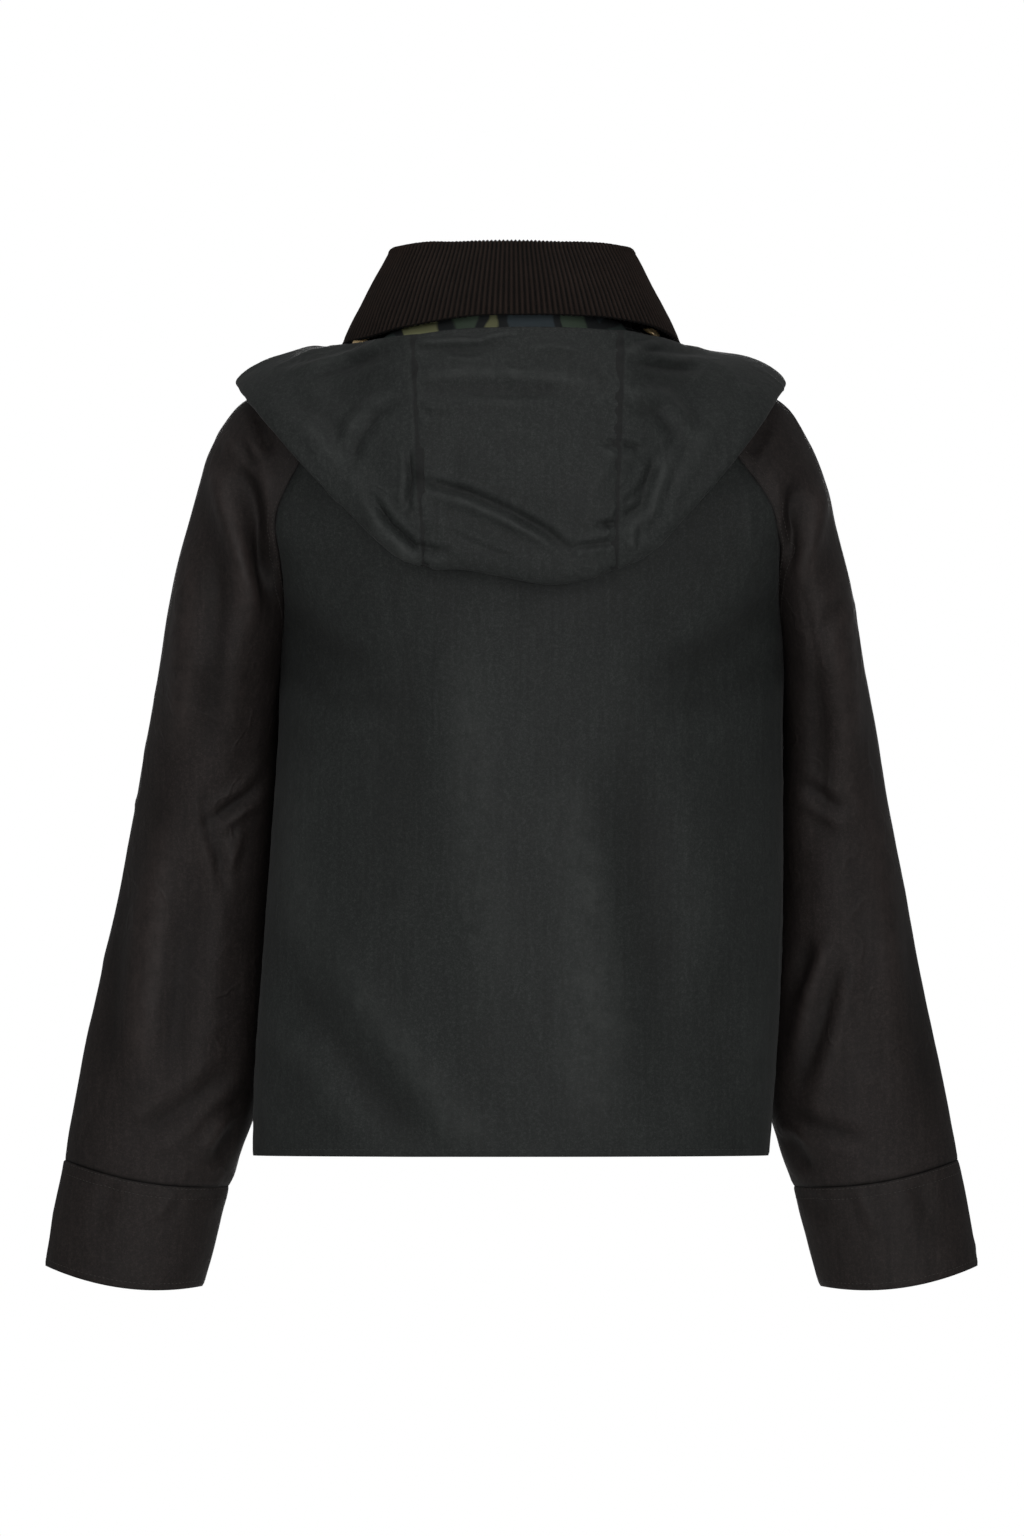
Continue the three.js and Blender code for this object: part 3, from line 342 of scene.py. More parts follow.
def thicken(piece, wall, kept_share=1.0):
    """Gives a cloth its thickness inwards. kept_share: how many of the triangles stay, where
    the flatter stretches of a finely divided cloth can do with fewer."""
    select_only(piece)
    solid = piece.modifiers.new("cloth", "SOLIDIFY")
    solid.thickness = wall
    solid.offset = -1
    solid.use_even_offset = False
    bpy.ops.object.modifier_apply(modifier=solid.name)
    if kept_share < 1:
        fewer = piece.modifiers.new("fewer", "DECIMATE")
        fewer.ratio = kept_share
        bpy.ops.object.modifier_apply(modifier=fewer.name)
    bpy.ops.object.shade_smooth_by_angle(angle=math.radians(50))


def finish_cloth(piece, material, node_name, wall,
                 kept_share=1.0):
    thicken(piece, wall, kept_share)
    piece.data.materials.clear()
    piece.data.materials.append(material)
    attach(piece, "root")
    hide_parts(node_name)


def node_group(name, sockets_in, sockets_out):
    """An empty shader group with named sockets, and its input and output nodes."""
    group = bpy.data.node_groups.new(name, "ShaderNodeTree")
    for socket, kind, value in sockets_in:
        made = group.interface.new_socket(socket, in_out="INPUT", socket_type=kind)
        made.default_value = value
    for socket, kind in sockets_out:
        group.interface.new_socket(socket, in_out="OUTPUT", socket_type=kind)
    return group, group.nodes.new("NodeGroupInput"), group.nodes.new("NodeGroupOutput")


def add_node(tree, kind, **values):
    """A node with its settings and plain input values."""
    node = tree.nodes.new(kind)
    for key, value in values.items():
        if key in node.inputs:
            node.inputs[key].default_value = value
        else:
            setattr(node, key, value)
    return node


def noise_at(tree, place, scale, detail=3.0, roughness=0.6):
    node = add_node(tree, "ShaderNodeTexNoise", Scale=scale, Detail=detail, Roughness=roughness)
    tree.links.new(place, node.inputs["Vector"])
    return node.outputs["Fac"]


def plug(tree, socket, value):
    """Links a socket, or sets it where the value is a plain one."""
    if isinstance(value, bpy.types.NodeSocket):
        tree.links.new(value, socket)
    else:
        socket.default_value = value


def mixed(tree, kind, fac, a, b):
    node = add_node(tree, "ShaderNodeMix", data_type="RGBA", blend_type=kind)
    for socket, value in ((node.inputs[0], fac), (node.inputs[6], a), (node.inputs[7], b)):
        plug(tree, socket, value)
    return node.outputs[2]


def calc(tree, kind, a, b=0.0, c=0.0):
    node = add_node(tree, "ShaderNodeMath", operation=kind)
    for socket, value in zip(node.inputs, (a, b, c)):
        plug(tree, socket, value)
    return node.outputs[0]


def ramp(tree, value, low, high, start=0.0, end=1.0):
    """Runs from start to end as the value runs from low to high."""
    node = tree.nodes.new("ShaderNodeMapRange")
    for key, number in (("From Min", low), ("From Max", high), ("To Min", start), ("To Max", end)):
        node.inputs[key].default_value = number
    tree.links.new(value, node.inputs["Value"])
    return node.outputs["Result"]


CRACKLE = 4.0  # how high the cracks of the wax stand in the bump, beside the yarns' 1.0


def waxed_weave():
    """Waxed cotton: its heather, its yarns, the cloudy wax, its cracks and streaks, the wear
    on raised creases, painted shade in troughs and wherever the cloth sank, and dark seams."""
    group, given, made = node_group(
        "waxed_weave",
        [("Cloth", "NodeSocketColor", (0.02, 0.021, 0.02, 1)),
         ("Fleck", "NodeSocketColor", (0.06, 0.06, 0.058, 1)),
         ("Fleck Amount", "NodeSocketFloat", 0.5),
         ("Cloud", "NodeSocketFloat", 0.2),
         ("Roughness", "NodeSocketFloat", 0.6)],
        [("Color", "NodeSocketColor"), ("Roughness", "NodeSocketFloat"),
         ("Height", "NodeSocketFloat")])
    place = add_node(group, "ShaderNodeTexCoord").outputs["Object"]
    fine = noise_at(group, place, 1050.0, 2.0, 0.7)
    fibre = noise_at(group, place, 420.0, 2.0, 0.6)
    cloud = noise_at(group, place, 15.0, 5.0, 0.62)
    rub = noise_at(group, place, 75.0, 4.0, 0.7)
    crumpled = add_node(group, "ShaderNodeAttribute", attribute_name="crumpled").outputs["Fac"]
    crack = calc(group, "SUBTRACT", noise_at(group, place, 24.0, 2.0), 0.5)
    crack = calc(group, "ABSOLUTE", crack)
    crack = calc(group, "MULTIPLY", ramp(group, crack, 0.0, 0.045, 1.0, 0.0), crumpled)
    crack = calc(group, "MULTIPLY", crack, ramp(group, noise_at(group, place, 17.0), 0.46, 0.6))
    streak = add_node(group, "ShaderNodeVectorMath", operation="MULTIPLY")
    streak.inputs[1].default_value = (1, 1, 0.07)
    group.links.new(place, streak.inputs[0])
    streak = noise_at(group, streak.outputs["Vector"], 260.0, 2.0)
    ridge_tone_and_shade = add_node(group, "ShaderNodeAttribute", attribute_name="ridge_tone_and_shade").outputs["Fac"]
    speck = calc(group, "MULTIPLY", fibre, 0.4)
    speck = calc(group, "ADD", calc(group, "MULTIPLY", fine, 0.6), speck)
    speck = ramp(group, speck, 0.46, 0.66)
    speck = calc(group, "MULTIPLY", speck, given.outputs["Fleck Amount"])
    colour = mixed(group, "MIX", speck, given.outputs["Cloth"], given.outputs["Fleck"])
    cloudy = calc(group, "MULTIPLY_ADD", ramp(group, cloud, 0.3, 0.7), given.outputs["Cloud"], 0.7)
    cloudy = calc(group, "ADD", cloudy, ramp(group, streak, 0.3, 0.7, 0.0, 0.34))
    shade = add_node(group, "ShaderNodeVectorMath", operation="SCALE")
    group.links.new(colour, shade.inputs[0])
    group.links.new(cloudy, shade.inputs["Scale"])
    lifted = calc(group, "MULTIPLY", ramp(group, ridge_tone_and_shade, 0.12, 0.9), ramp(group, rub, 0.3, 0.65, 0.1))
    lifted = calc(group, "MULTIPLY_ADD", crack, 0.25, lifted)
    rubbed = mixed(group, "MIX", calc(group, "MULTIPLY", lifted, 0.4), shade.outputs["Vector"],
                   given.outputs["Fleck"])
    # Painted shade: cloth that sank, in crease troughs and on the side of a sleeve that faces the
    # body, is darkened.
    dark = calc(group, "MULTIPLY", ramp(group, ridge_tone_and_shade, -0.15, -1.0), 0.6)
    sunk = mixed(group, "MULTIPLY", dark, rubbed, (0.45, 0.44, 0.43, 1))
    seam = add_node(group, "ShaderNodeAttribute", attribute_name="seam").outputs["Fac"]
    seam = calc(group, "MULTIPLY", calc(group, "POWER", seam, 3.0), 0.9)
    sunk = mixed(group, "MULTIPLY", seam, sunk, (0.2, 0.2, 0.2, 1))
    gloss = calc(group, "MULTIPLY_ADD", cloud, 0.24, given.outputs["Roughness"])
    gloss = calc(group, "SUBTRACT", gloss, calc(group, "MULTIPLY_ADD", lifted, 0.1, 0.12))
    cracked = calc(group, "MULTIPLY", crack, CRACKLE)
    height = calc(group, "ADD", calc(group, "MULTIPLY_ADD", fine, 0.4, fibre), cracked)
    group.links.new(sunk, made.inputs["Color"])
    group.links.new(gloss, made.inputs["Roughness"])
    group.links.new(height, made.inputs["Height"])
    return group


WEAVE = waxed_weave()


def new_surface(name):
    """A new material, its node tree and its surface node."""
    material = bpy.data.materials.new(name)
    material.use_nodes = True
    return material, material.node_tree, material.node_tree.nodes["Principled BSDF"]


def waxed_cloth(name, cloth, fleck, fleck_amount, cloud, roughness, sheen, gloss):
    material, tree, surface = new_surface(name)
    weave = add_node(tree, "ShaderNodeGroup", node_tree=WEAVE)
    weave.inputs["Cloth"].default_value = (*cloth, 1)
    weave.inputs["Fleck"].default_value = (*fleck, 1)
    weave.inputs["Fleck Amount"].default_value = fleck_amount
    weave.inputs["Cloud"].default_value = cloud
    weave.inputs["Roughness"].default_value = roughness
    bump = add_node(tree, "ShaderNodeBump", Strength=0.4, Distance=0.3 * MM)
    tree.links.new(weave.outputs["Color"], surface.inputs["Base Color"])
    tree.links.new(weave.outputs["Roughness"], surface.inputs["Roughness"])
    tree.links.new(weave.outputs["Height"], bump.inputs["Height"])
    tree.links.new(bump.outputs["Normal"], surface.inputs["Normal"])
    surface.inputs["Sheen Weight"].default_value = sheen
    surface.inputs["Sheen Roughness"].default_value = 0.5
    surface.inputs["Specular IOR Level"].default_value = gloss
    return material


def border_loops(piece):
    """The cut edges of a cloth, as closed lists of (point, direction into the cloth)."""
    cloth = bmesh.new()
    cloth.from_mesh(piece.data)
    waiting = {edge for edge in cloth.edges if edge.is_boundary}
    loops = []
    while waiting:
        edge = waiting.pop()
        chain = [edge.verts[0], edge.verts[1]]
        while True:
            onward = [other for other in chain[-1].link_edges if other in waiting]
            if not onward:
                break
            waiting.discard(onward[0])
            chain.append(onward[0].other_vert(chain[-1]))
        chain.pop()
        points = np.array([vertex.co for vertex in chain])
        inward = []
        for vertex in chain:
            middle = sum((face.calc_center_median() for face in vertex.link_faces), Vector())
            inward.append(middle / len(vertex.link_faces) - vertex.co)
        along = np.roll(points, -1, axis=0) - np.roll(points, 1, axis=0)
        along /= np.linalg.norm(along, axis=1)[:, None] + 1e-12
        inward = np.array(inward)
        inward -= along * (inward * along).sum(axis=1)[:, None]
        inward /= np.linalg.norm(inward, axis=1)[:, None] + 1e-12
        loops.append((points, inward))
    cloth.free()
    return loops


def border_run(loops, start, end, via):
    """The stretch of cut edge from start to end that passes near via, all in millimetres."""
    marks = [np.array(mark) * MM for mark in (start, end, via)]
    gaps = [[np.linalg.norm(points - mark, axis=1) for mark in marks] for points, _ in loops]
    best = min(range(len(loops)), key=lambda k: gaps[k][0].min() + gaps[k][1].min())
    points, inward = loops[best]
    first, last = gaps[best][0].argmin(), gaps[best][1].argmin()
    count = len(points)
    forward = [(first + k) % count for k in range((last - first) % count + 1)]
    backward = [(first - k) % count for k in range((first - last) % count + 1)]
    run = min(forward, backward, key=lambda ids: gaps[best][2][ids].min())
    return points[run], inward[run]


DASH = 2.5 * MM
DASH_PITCH = 3.3 * MM
DASH_WIDTH = 0.55 * MM


def stitch_row(dashes, tree, path, inward=None, inset=0.0, skip=0.0):
    """Adds a row of dashes that follows a path over a cloth, given as its search tree.
    inset: how far in from the path, along inward. skip: length left free at both ends."""
    if inward is not None:
        path = path + inward * inset
    runs = np.linalg.norm(np.diff(path, axis=0), axis=1)
    along = np.concatenate([[0], np.cumsum(runs)])
    places = np.arange(skip, along[-1] - skip, DASH_PITCH)
    for place in places:
        ends = []
        for at in (place, place + DASH):
            spot = Vector([np.interp(at, along, path[:, axis]) for axis in range(3)])
            hit = tree.find_nearest(spot)
            ends.append((hit[0], hit[1]))
        (start, up), (end, _) = ends
        ahead = end - start
        if ahead.length < DASH * 0.4:
            continue
        side = ahead.normalized().cross(up) * DASH_WIDTH / 2
        middle = (start + end) / 2
        dashes.append([start, middle + side, end, middle - side,
                       middle + up * 0.28 * MM, middle - up * 0.2 * MM])


def sew(name, dashes, thread):
    """One piece out of many dashes, each a small spindle of thread."""
    corners, faces = [], []
    for dash in dashes:
        first = len(corners)
        corners += dash
        for k in range(4):
            faces.append((first + k, first + (k + 1) % 4, first + 4))
            faces.append((first + (k + 1) % 4, first + k, first + 5))
    mesh = bpy.data.meshes.new(name)
    mesh.from_pydata([tuple(corner) for corner in corners], [], faces)
    seam = bpy.data.objects.new(name, mesh)
    bpy.context.collection.objects.link(seam)
    tidy = bmesh.new()
    tidy.from_mesh(mesh)
    bmesh.ops.recalc_face_normals(tidy, faces=tidy.faces)
    tidy.to_mesh(mesh)
    tidy.free()
    mesh.materials.append(thread)
    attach(seam, "root")


def thread_material(name, colour):
    material, tree, surface = new_surface(name)
    place = add_node(tree, "ShaderNodeTexCoord").outputs["Object"]
    twist = noise_at(tree, place, 700.0, 2.0)
    shade = mixed(tree, "MIX", ramp(tree, twist, 0.35, 0.65), (*[c * 0.6 for c in colour], 1),
                  (*colour, 1))
    tree.links.new(shade, surface.inputs["Base Color"])
    surface.inputs["Roughness"].default_value = 0.7
    return material


def search_tree(piece):
    """A search tree of a cloth's faces."""
    cloth = bmesh.new()
    cloth.from_mesh(piece.data)
    found = BVHTree.FromBMesh(cloth)
    cloth.free()
    return found


shell_cloth = waxed_cloth("charcoal_waxed_cotton", cloth=(0.0076, 0.0094, 0.0088),
                          fleck=(0.034, 0.0375, 0.0355), fleck_amount=0.5, cloud=0.26,
                          roughness=0.66, sheen=0.04, gloss=0.26)
shell_thread = thread_material("charcoal_thread", (0.022, 0.022, 0.021))

BACK_CREASES = [
    (13, -3.6, (166, -196), (140, -226), (96, -246)),
    (12, -2.4, (167, -240), (128, -262), (90, -268)),
    (13, -3.6, (-192, -186), (-165, -222), (-122, -246)),
    (12, -2.4, (-194, -236), (-150, -262), (-120, -270)),
    (20, -3.0, (168, -452), (120, -520), (62, -590)),
    (17, 2.0, (120, -470), (70, -545), (30, -592)),
    (14, -2.4, (178, -520), (150, -556), (126, -592)),
    (24, -2.6, (-84, -310), (-104, -420), (-126, -540)),
    (26, 2.2, (-38, -330), (-52, -450), (-60, -585)),
    (28, 2.0, (28, -210), (20, -330), (6, -470)),
    (24, -2.2, (76, -230), (84, -330), (92, -420)),
    (16, -2.4, (-168, -420), (-150, -500), (-160, -588)),
    (17, 2.0, (150, -300), (158, -380), (150, -440)),
]
BEHIND = (0, 1, 0)
AHEAD = (0, -1, 0)

back_cloth, points, normals, edge = start_cloth("back", 2.0)
rise = crease_rise(points, normals, BACK_CREASES, BEHIND) * from_seam(edge, 0.35, 0.65, 26)
rise += soft_cloth(points, edge, seed=1, broad=2.2, stretch=(1, 1, 0.45))
raise_cloth(back_cloth, rise, edge, 0.35)
back_tree, back_edge = search_tree(back_cloth), border_loops(back_cloth)
dashes = []
hem = border_run(back_edge, (187, -12, -595), (-186, -12, -595), (0, 110, -595))
stitch_row(dashes, back_tree, *hem, inset=5 * MM, skip=2 * MM)
UNDERARMS = {"left": (168, -20, -232), "right": (-198, -20, -232)}
for side_name, side in (("left", 1), ("right", -1)):
    raglan = border_run(back_edge, (72 * side, 42, -2), UNDERARMS[side_name], (135 * side, 72, -70))
    tuck_under(back_cloth, near=raglan[0], aside=5.0 * side)
finish_cloth(back_cloth, shell_cloth, "back", SHELL_CLOTH)
sew("back_stitches", dashes, shell_thread)

# Fronts: two panels from the neck down, the right one lapped over the left one, with a row of
# stitches along each front edge and above the hem. The photograph doesn't show them, so their
# creases are like those of the back.
FRONT_CREASES = [
    (12, -3.2, (160, -200), (132, -236), (98, -250)),
    (12, -3.2, (-186, -198), (-156, -236), (-120, -252)),
    (22, -2.6, (110, -300), (122, -400), (112, -520)),
    (20, 2.0, (70, -330), (78, -440), (70, -560)),
    (22, -2.6, (-118, -290), (-104, -400), (-124, -540)),
    (20, 2.0, (-70, -360), (-80, -460), (-72, -580)),
    (16, -2.4, (166, -470), (130, -540), (110, -592)),
    (16, -2.4, (-176, -450), (-150, -530), (-138, -592)),
]
for side_name, seed, panel_edge in (
        ("left", 4, [(-22, -74, -50), (-22, -125, -595), (-22, -110, -300)]),
        ("right", 5, [(22, -77, -50), (22, -128, -595), (22, -115, -300)])):
    side = 1 if side_name == "left" else -1
    front, points, normals, edge = start_cloth("front_" + side_name, 2.0)
    rise = crease_rise(points, normals, FRONT_CREASES, AHEAD) * from_seam(edge, 0.3, 0.7, 30)
    rise += soft_cloth(points, edge, seed=seed, broad=1.8, stretch=(1, 1, 0.45))
    lap = soft_step((abs(points[:, 0]) / MM - 26) / 14)
    lap = np.where(points[:, 0] * side > 0.026, lap, 0)
    raise_cloth(front, rise * (0.15 + 0.85 * lap), edge, 0.35)
    tree, loops = search_tree(front), border_loops(front)
    dashes = []
    hem_ends = ((-186, -12, -595), (22, -128, -595))
    if side > 0:
        hem_ends = ((187, -12, -595), (-22, -125, -595))
    stitch_row(dashes, tree, *border_run(loops, *hem_ends, (100 * side, -110, -595)), inset=5 * MM,
               skip=2 * MM)
    placket = border_run(loops, *panel_edge)
    stitch_row(dashes, tree, *placket, inset=4 * MM, skip=5 * MM)
    if side < 0:
        stitch_row(dashes, tree, *placket, inset=40 * MM, skip=5 * MM)
    raglan = border_run(loops, (72 * side, -48, -24), UNDERARMS[side_name], (135 * side, -82, -90))
    tuck_under(front, near=raglan[0], aside=5.0 * side)
    finish_cloth(front, shell_cloth, "front_" + side_name, SHELL_CLOTH)
    sew(f"front_{side_name}_stitches", dashes, shell_thread)

# Sleeves: raglan sleeves of a brown, slightly shinier waxed cotton, each one piece from the
# neck to the cuff seam, with two rows of stitches beside the raglan seam. A long deep fold
# runs down beside each seam, and short sharp creases lie at the elbow and the underarm.
sleeve_cloth = waxed_cloth("brown_waxed_cotton", cloth=(0.0118, 0.0094, 0.0088),
                           fleck=(0.038, 0.0296, 0.0278), fleck_amount=0.42, cloud=0.36,
                           roughness=0.64, sheen=0.0, gloss=0.17)
sleeve_thread = thread_material("brown_thread", (0.03, 0.026, 0.023))
SLEEVE_CREASES = {
    "left": [
        (9, -7.5, (199, -100), (192, -116), (183, -146), (174, -180), (168, -212)),
        (11, 3.0, (209, -92), (204, -120), (197, -154), (188, -200)),
        (5, -2.2, (183, -60), (180, -72), (174, -88)),
        (3.5, -2.0, (195, -80), (190, -90), (183, -98)),
        (5, 1.4, (203, -80), (201, -90), (198, -102)),
        (13, 2.6, (232, -150), (236, -220), (238, -300)),
        (11, -2.6, (214, -160), (216, -230), (220, -290)),
        (4.5, -2.6, (168, -304), (187, -335), (218, -354)),
        (4.5, 1.8, (168, -322), (184, -338), (202, -351)),
        (4, -1.6, (221, -336), (220, -356), (217, -376)),
        (4.5, -1.7, (214, -352), (211, -378), (207, -402)),
        (4, 1.3, (194, -358), (199, -374), (205, -391)),
        (12, 2.4, (250, -360), (262, -440), (268, -520)),
        (13, -2.6, (228, -400), (236, -470), (246, -540)),
        (9, -2.2, (282, -390), (290, -460), (296, -530)),
        (8, -2.4, (210, -538), (238, -562), (272, -582)),
        (6, -3.0, (186, -545), (198, -557), (211, -569)),
        (5, -2.4, (194, -564), (212, -598)),
        (5, 1.8, (202, -560), (222, -590)),
    ],
    "right": [
        (8, -6.5, (-207, -112), (-206, -126), (-202, -144), (-195, -168)),
        (10, 2.6, (-219, -112), (-216, -146), (-210, -186)),
        (5, -1.8, (-186, -66), (-180, -78), (-172, -90)),
        (4, -2.4, (-205, -228), (-200, -240), (-195, -250)),
        (5, -2.2, (-238, -192), (-232, -203), (-226, -214)),
        (12, 2.4, (-236, -150), (-240, -230), (-246, -310)),
        (11, -2.4, (-220, -250), (-222, -310), (-226, -370)),
        (5, -1.6, (-200, -318), (-216, -334), (-238, -344)),
        (5, 1.2, (-204, -330), (-222, -348), (-240, -356)),
        (12, 2.2, (-262, -330), (-270, -400), (-276, -470)),
        (7, -3.2, (-216, -444), (-209, -464), (-200, -484)),
        (8, -3.0, (-234, -452), (-221, -504), (-207, -549)),
        (8, 2.2, (-226, -444), (-214, -488), (-202, -520)),
        (12, -2.2, (-290, -420), (-298, -490), (-304, -560)),
        (6, -2.4, (-196, -560), (-220, -574), (-250, -582)),
        (5, -2.4, (-200, -580), (-214, -604)),
    ],
}
SLEEVE_FRONT_CREASES = {
    "left": [
        (9, -5.0, (190, -110), (182, -150), (174, -196)),
        (6, -4.0, (176, -300), (200, -322), (228, -336)),
        (6, -3.2, (178, -330), (204, -352), (236, -360)),
        (11, 2.4, (244, -180), (250, -260), (258, -330)),
        (11, -2.6, (236, -380), (250, -460), (262, -530)),
        (7, -2.6, (196, -548), (226, -566), (262, -578)),
    ],
    "right": [
        (9, -5.0, (-212, -112), (-206, -152), (-198, -198)),
        (6, -4.0, (-200, -290), (-224, -316), (-250, -332)),
        (6, -3.2, (-200, -326), (-226, -346), (-256, -352)),
        (11, 2.4, (-250, -170), (-256, -250), (-262, -320)),
        (11, -2.6, (-240, -390), (-252, -460), (-266, -540)),
        (7, -2.6, (-198, -552), (-230, -568), (-266, -580)),
    ],
}
# The side of each sleeve that faces the body gets painted shade, marked as sunk by SHADED while the
# cloth stays put, and below the armhole it leans LEAN towards the body.
LEAN = 2.2
SHADED = 2.4
for side_name, side, seed in (("left", 1, 7), ("right", -1, 8)):
    sleeve, points, normals, edge = start_cloth("sleeve_" + side_name, 2.0)
    rise = crease_rise(points, normals, SLEEVE_CREASES[side_name], BEHIND)
    rise += crease_rise(points, normals, SLEEVE_FRONT_CREASES[side_name], AHEAD)
    rise *= from_seam(edge, 0.35, 1.1, 14)
    rise += soft_cloth(points, edge, seed=seed, broad=1.3, stretch=(1, 1, 0.35), crumple=0.35)
    inner = soft_step((-normals[:, 0] * side - 0.55) / 0.4)
    inner = inner * soft_step((points[:, 2] + 0.59) / 0.03)
    # Painted shade: the side facing the body is marked as sunk by SHADED, which darkens its colour;
    # leaning puts SHADED back, so the cloth itself doesn't sink.
    rise = rise * (1 - inner) - inner * SHADED * MM
    leaning = inner * (SHADED + LEAN * soft_step((-0.15 - points[:, 2]) / 0.05)) * MM
    raise_cloth(sleeve, rise, edge, 1.0, leaning)
    tree, loops = search_tree(sleeve), border_loops(sleeve)
    dashes = []
    for y, z, via in ((42, -2, (135 * side, 72, -70)), (-48, -24, (135 * side, -82, -90))):
        raglan = border_run(loops, (72 * side, y, z), UNDERARMS[side_name], via)
        for inset in (2.0, 8.0):
            stitch_row(dashes, tree, *raglan, inset=inset * MM, skip=4 * MM)
    tuck_under(sleeve)
    finish_cloth(sleeve, sleeve_cloth, "sleeve_" + side_name, SHELL_CLOTH)
    sew(f"sleeve_{side_name}_stitches", dashes, sleeve_thread)

# Cuffs: doubled cloth sewn over the sleeve's end with two rows of stitches, and one row more
# above the open end. Each is pulled a little into ripples between the rows.
CUFF_CREASES = [
    (6, -2.2, (208, -608), (228, -632)),
    (5, 1.4, (240, -616), (256, -640)),
    (7, -1.6, (286, -612), (300, -650)),
    (6, -2.0, (-210, -612), (-226, -640)),
    (5, 1.4, (-250, -618), (-262, -650)),
    (7, -1.6, (-292, -610), (-304, -646)),
]
for side_name, side, seed in (("left", 1, 10), ("right", -1, 11)):
    cuff, points, normals, edge = start_cloth("cuff_" + side_name, 2.6, 4)
    rise = crease_rise(points, normals, CUFF_CREASES, BEHIND) * from_seam(edge, 0.3, 0.7, 12)
    rise += soft_cloth(points, edge, seed=seed, broad=0.8, stretch=(1, 1, 1))
    raise_cloth(cuff, rise, edge, 0.6)
    tree = search_tree(cuff)
    loops = sorted(border_loops(cuff), key=lambda loop: -loop[0][:, 2].mean())
    dashes = []
    for (path, inward), insets in zip(loops, ((1.6, 9.0), (5.0,))):
        path, inward = np.vstack([path, path[:1]]), np.vstack([inward, inward[:1]])
        for inset in insets:
            stitch_row(dashes, tree, path, inward, inset=inset * MM)
    finish_cloth(cuff, sleeve_cloth, "cuff_" + side_name, 2.2 * MM,
                 kept_share=0.4)
    sew(f"cuff_{side_name}_stitches", dashes, sleeve_thread)

# Hood: three panels that hang flattened over the back, joined at two seams, with the face
# opening's edge on top. The creases cross the seams, so all three panels share one list.
HOOD_CREASES = [
    (3, 2.2, (90, -8), (113, -19), (127, -23), (156, -30)),
    (5, -1.6, (88, -15), (112, -26), (140, -33)),
    (2.6, 2.0, (72, -10), (38, -9), (24, -9), (8, -4), (-8, -1)),
    (4, -1.3, (66, -16), (34, -15), (6, -10)),
    (2.8, 1.8, (-77, -18), (-91, -14), (-106, -10)),
    (3, 2.0, (-86, -18), (-113, -22), (-138, -24)),
    (4, -1.3, (-90, -24), (-116, -28), (-136, -30)),
    (3, 1.2, (52, -20), (30, -22), (12, -21)),
    (3, 1.2, (-10, -14), (-30, -12), (-52, -16)),
    (4, -1.2, (-16, -20), (-36, -19), (-60, -22)),
    (6, 2.0, (70, -36), (30, -31), (-20, -34), (-60, -38)),
    (6, -1.4, (74, -45), (10, -42), (-50, -46)),
    (4, 1.2, (30, -52), (-4, -54), (-34, -50)),
    (6, 1.8, (-77, -44), (-109, -50), (-131, -73)),
    (6, -1.6, (-84, -54), (-106, -60), (-120, -78)),
    (3.6, -3.0, (61, -110), (30, -119), (5, -130), (-24, -145), (-39, -157)),
    (5.5, 2.2, (58, -119), (28, -126), (2, -137), (-22, -151)),
    (2.6, -1.8, (-44, -157), (-76, -153)),
    (3, -3.0, (73, -90), (72, -106), (74, -128)),
    (5, 1.6, (66, -94), (64, -110), (66, -128)),
    (3, -1.4, (66, -58), (58, -62), (46, -60)),
    (5, -2.0, (84, -54), (97, -62), (110, -80), (117, -99)),
    (5, 1.4, (90, -48), (106, -58), (122, -80)),
    (3.4, -3.0, (98, -124), (87, -140), (69, -156), (52, -160)),
    (5, 2.4, (105, -126), (93, -146), (74, -163), (56, -168)),
    (4, -2.2, (-103, -94), (-93, -127), (-76, -137)),
    (5, 1.6, (-109, -98), (-100, -131), (-84, -146)),
    (3, -1.8, (-60, -142), (-75, -140)),
    (3, -2.2, (-66, -82), (-78, -82), (-94, -86)),
    (3, 1.3, (-68, -90), (-80, -91), (-92, -96)),
    (3, -1.8, (-68, -140), (-82, -141)),
    (3, 1.6, (-87, -142), (-85, -158)),
    (3, -1.4, (-94, -110), (-88, -120), (-80, -126)),
    (4, 1.2, (-120, -84), (-112, -100), (-106, -114)),
    (3, 1.2, (40, -142), (20, -152), (-2, -160)),
    (9, 1.6, (150, -62), (128, -92), (104, -120)),
    (9, 1.6, (-152, -62), (-130, -92), (-108, -118)),
    (8, -1.6, (162, -48), (138, -66), (120, -84)),
]
FROM_ABOVE_BEHIND = (0, 0.8, 0.6)
HOOD_PANELS = [
    # name, seed, and the start, the end and a place between for its rim and for its side seam
    ("left", 13, ((72, 108, -4), (124, -60, -40), (152, 40, -30)),
     ((72, 108, -4), (64, 135, -171), (70, 140, -90))),
    ("centre", 14, ((-80, 107, -1), (72, 108, -4), (0, 118, 2)), None),
    ("right", 15, ((-80, 107, -1), (-124, -60, -40), (-152, 40, -30)),
     ((-80, 107, -1), (-76, 134, -173), (-84, 140, -90))),
]
for panel_name, seed, rim, side_seam in HOOD_PANELS:
    panel, points, normals, edge = start_cloth("hood_" + panel_name, 1.6, 4)
    rise = crease_rise(points, normals, HOOD_CREASES, FROM_ABOVE_BEHIND)
    rise *= from_seam(edge, 0.6, 0.5, 8)
    rise += soft_cloth(points, edge, seed=seed, broad=1.2, stretch=(1, 1, 1), crumple=0.55)
    raise_cloth(panel, rise, edge, 0.9)
    tree, loops = search_tree(panel), border_loops(panel)
    dashes = []
    stitch_row(dashes, tree, *border_run(loops, *rim), inset=3 * MM, skip=1 * MM)
    if side_seam:
        seam = border_run(loops, *side_seam)
        stitch_row(dashes, tree, *seam, inset=2.2 * MM, skip=2 * MM)
        tuck_under(panel, near=seam[0])
    finish_cloth(panel, shell_cloth, "hood_" + panel_name, 1.3 * MM,
                 kept_share=0.37)
    sew(f"hood_{panel_name}_stitches", dashes, shell_thread)

# Hood lining: the strip of printed cotton that shows between the collar and the hood's edge.
# The print is a plain camouflage of loose leaf shapes in greens, slate, brown and a bit of orange.


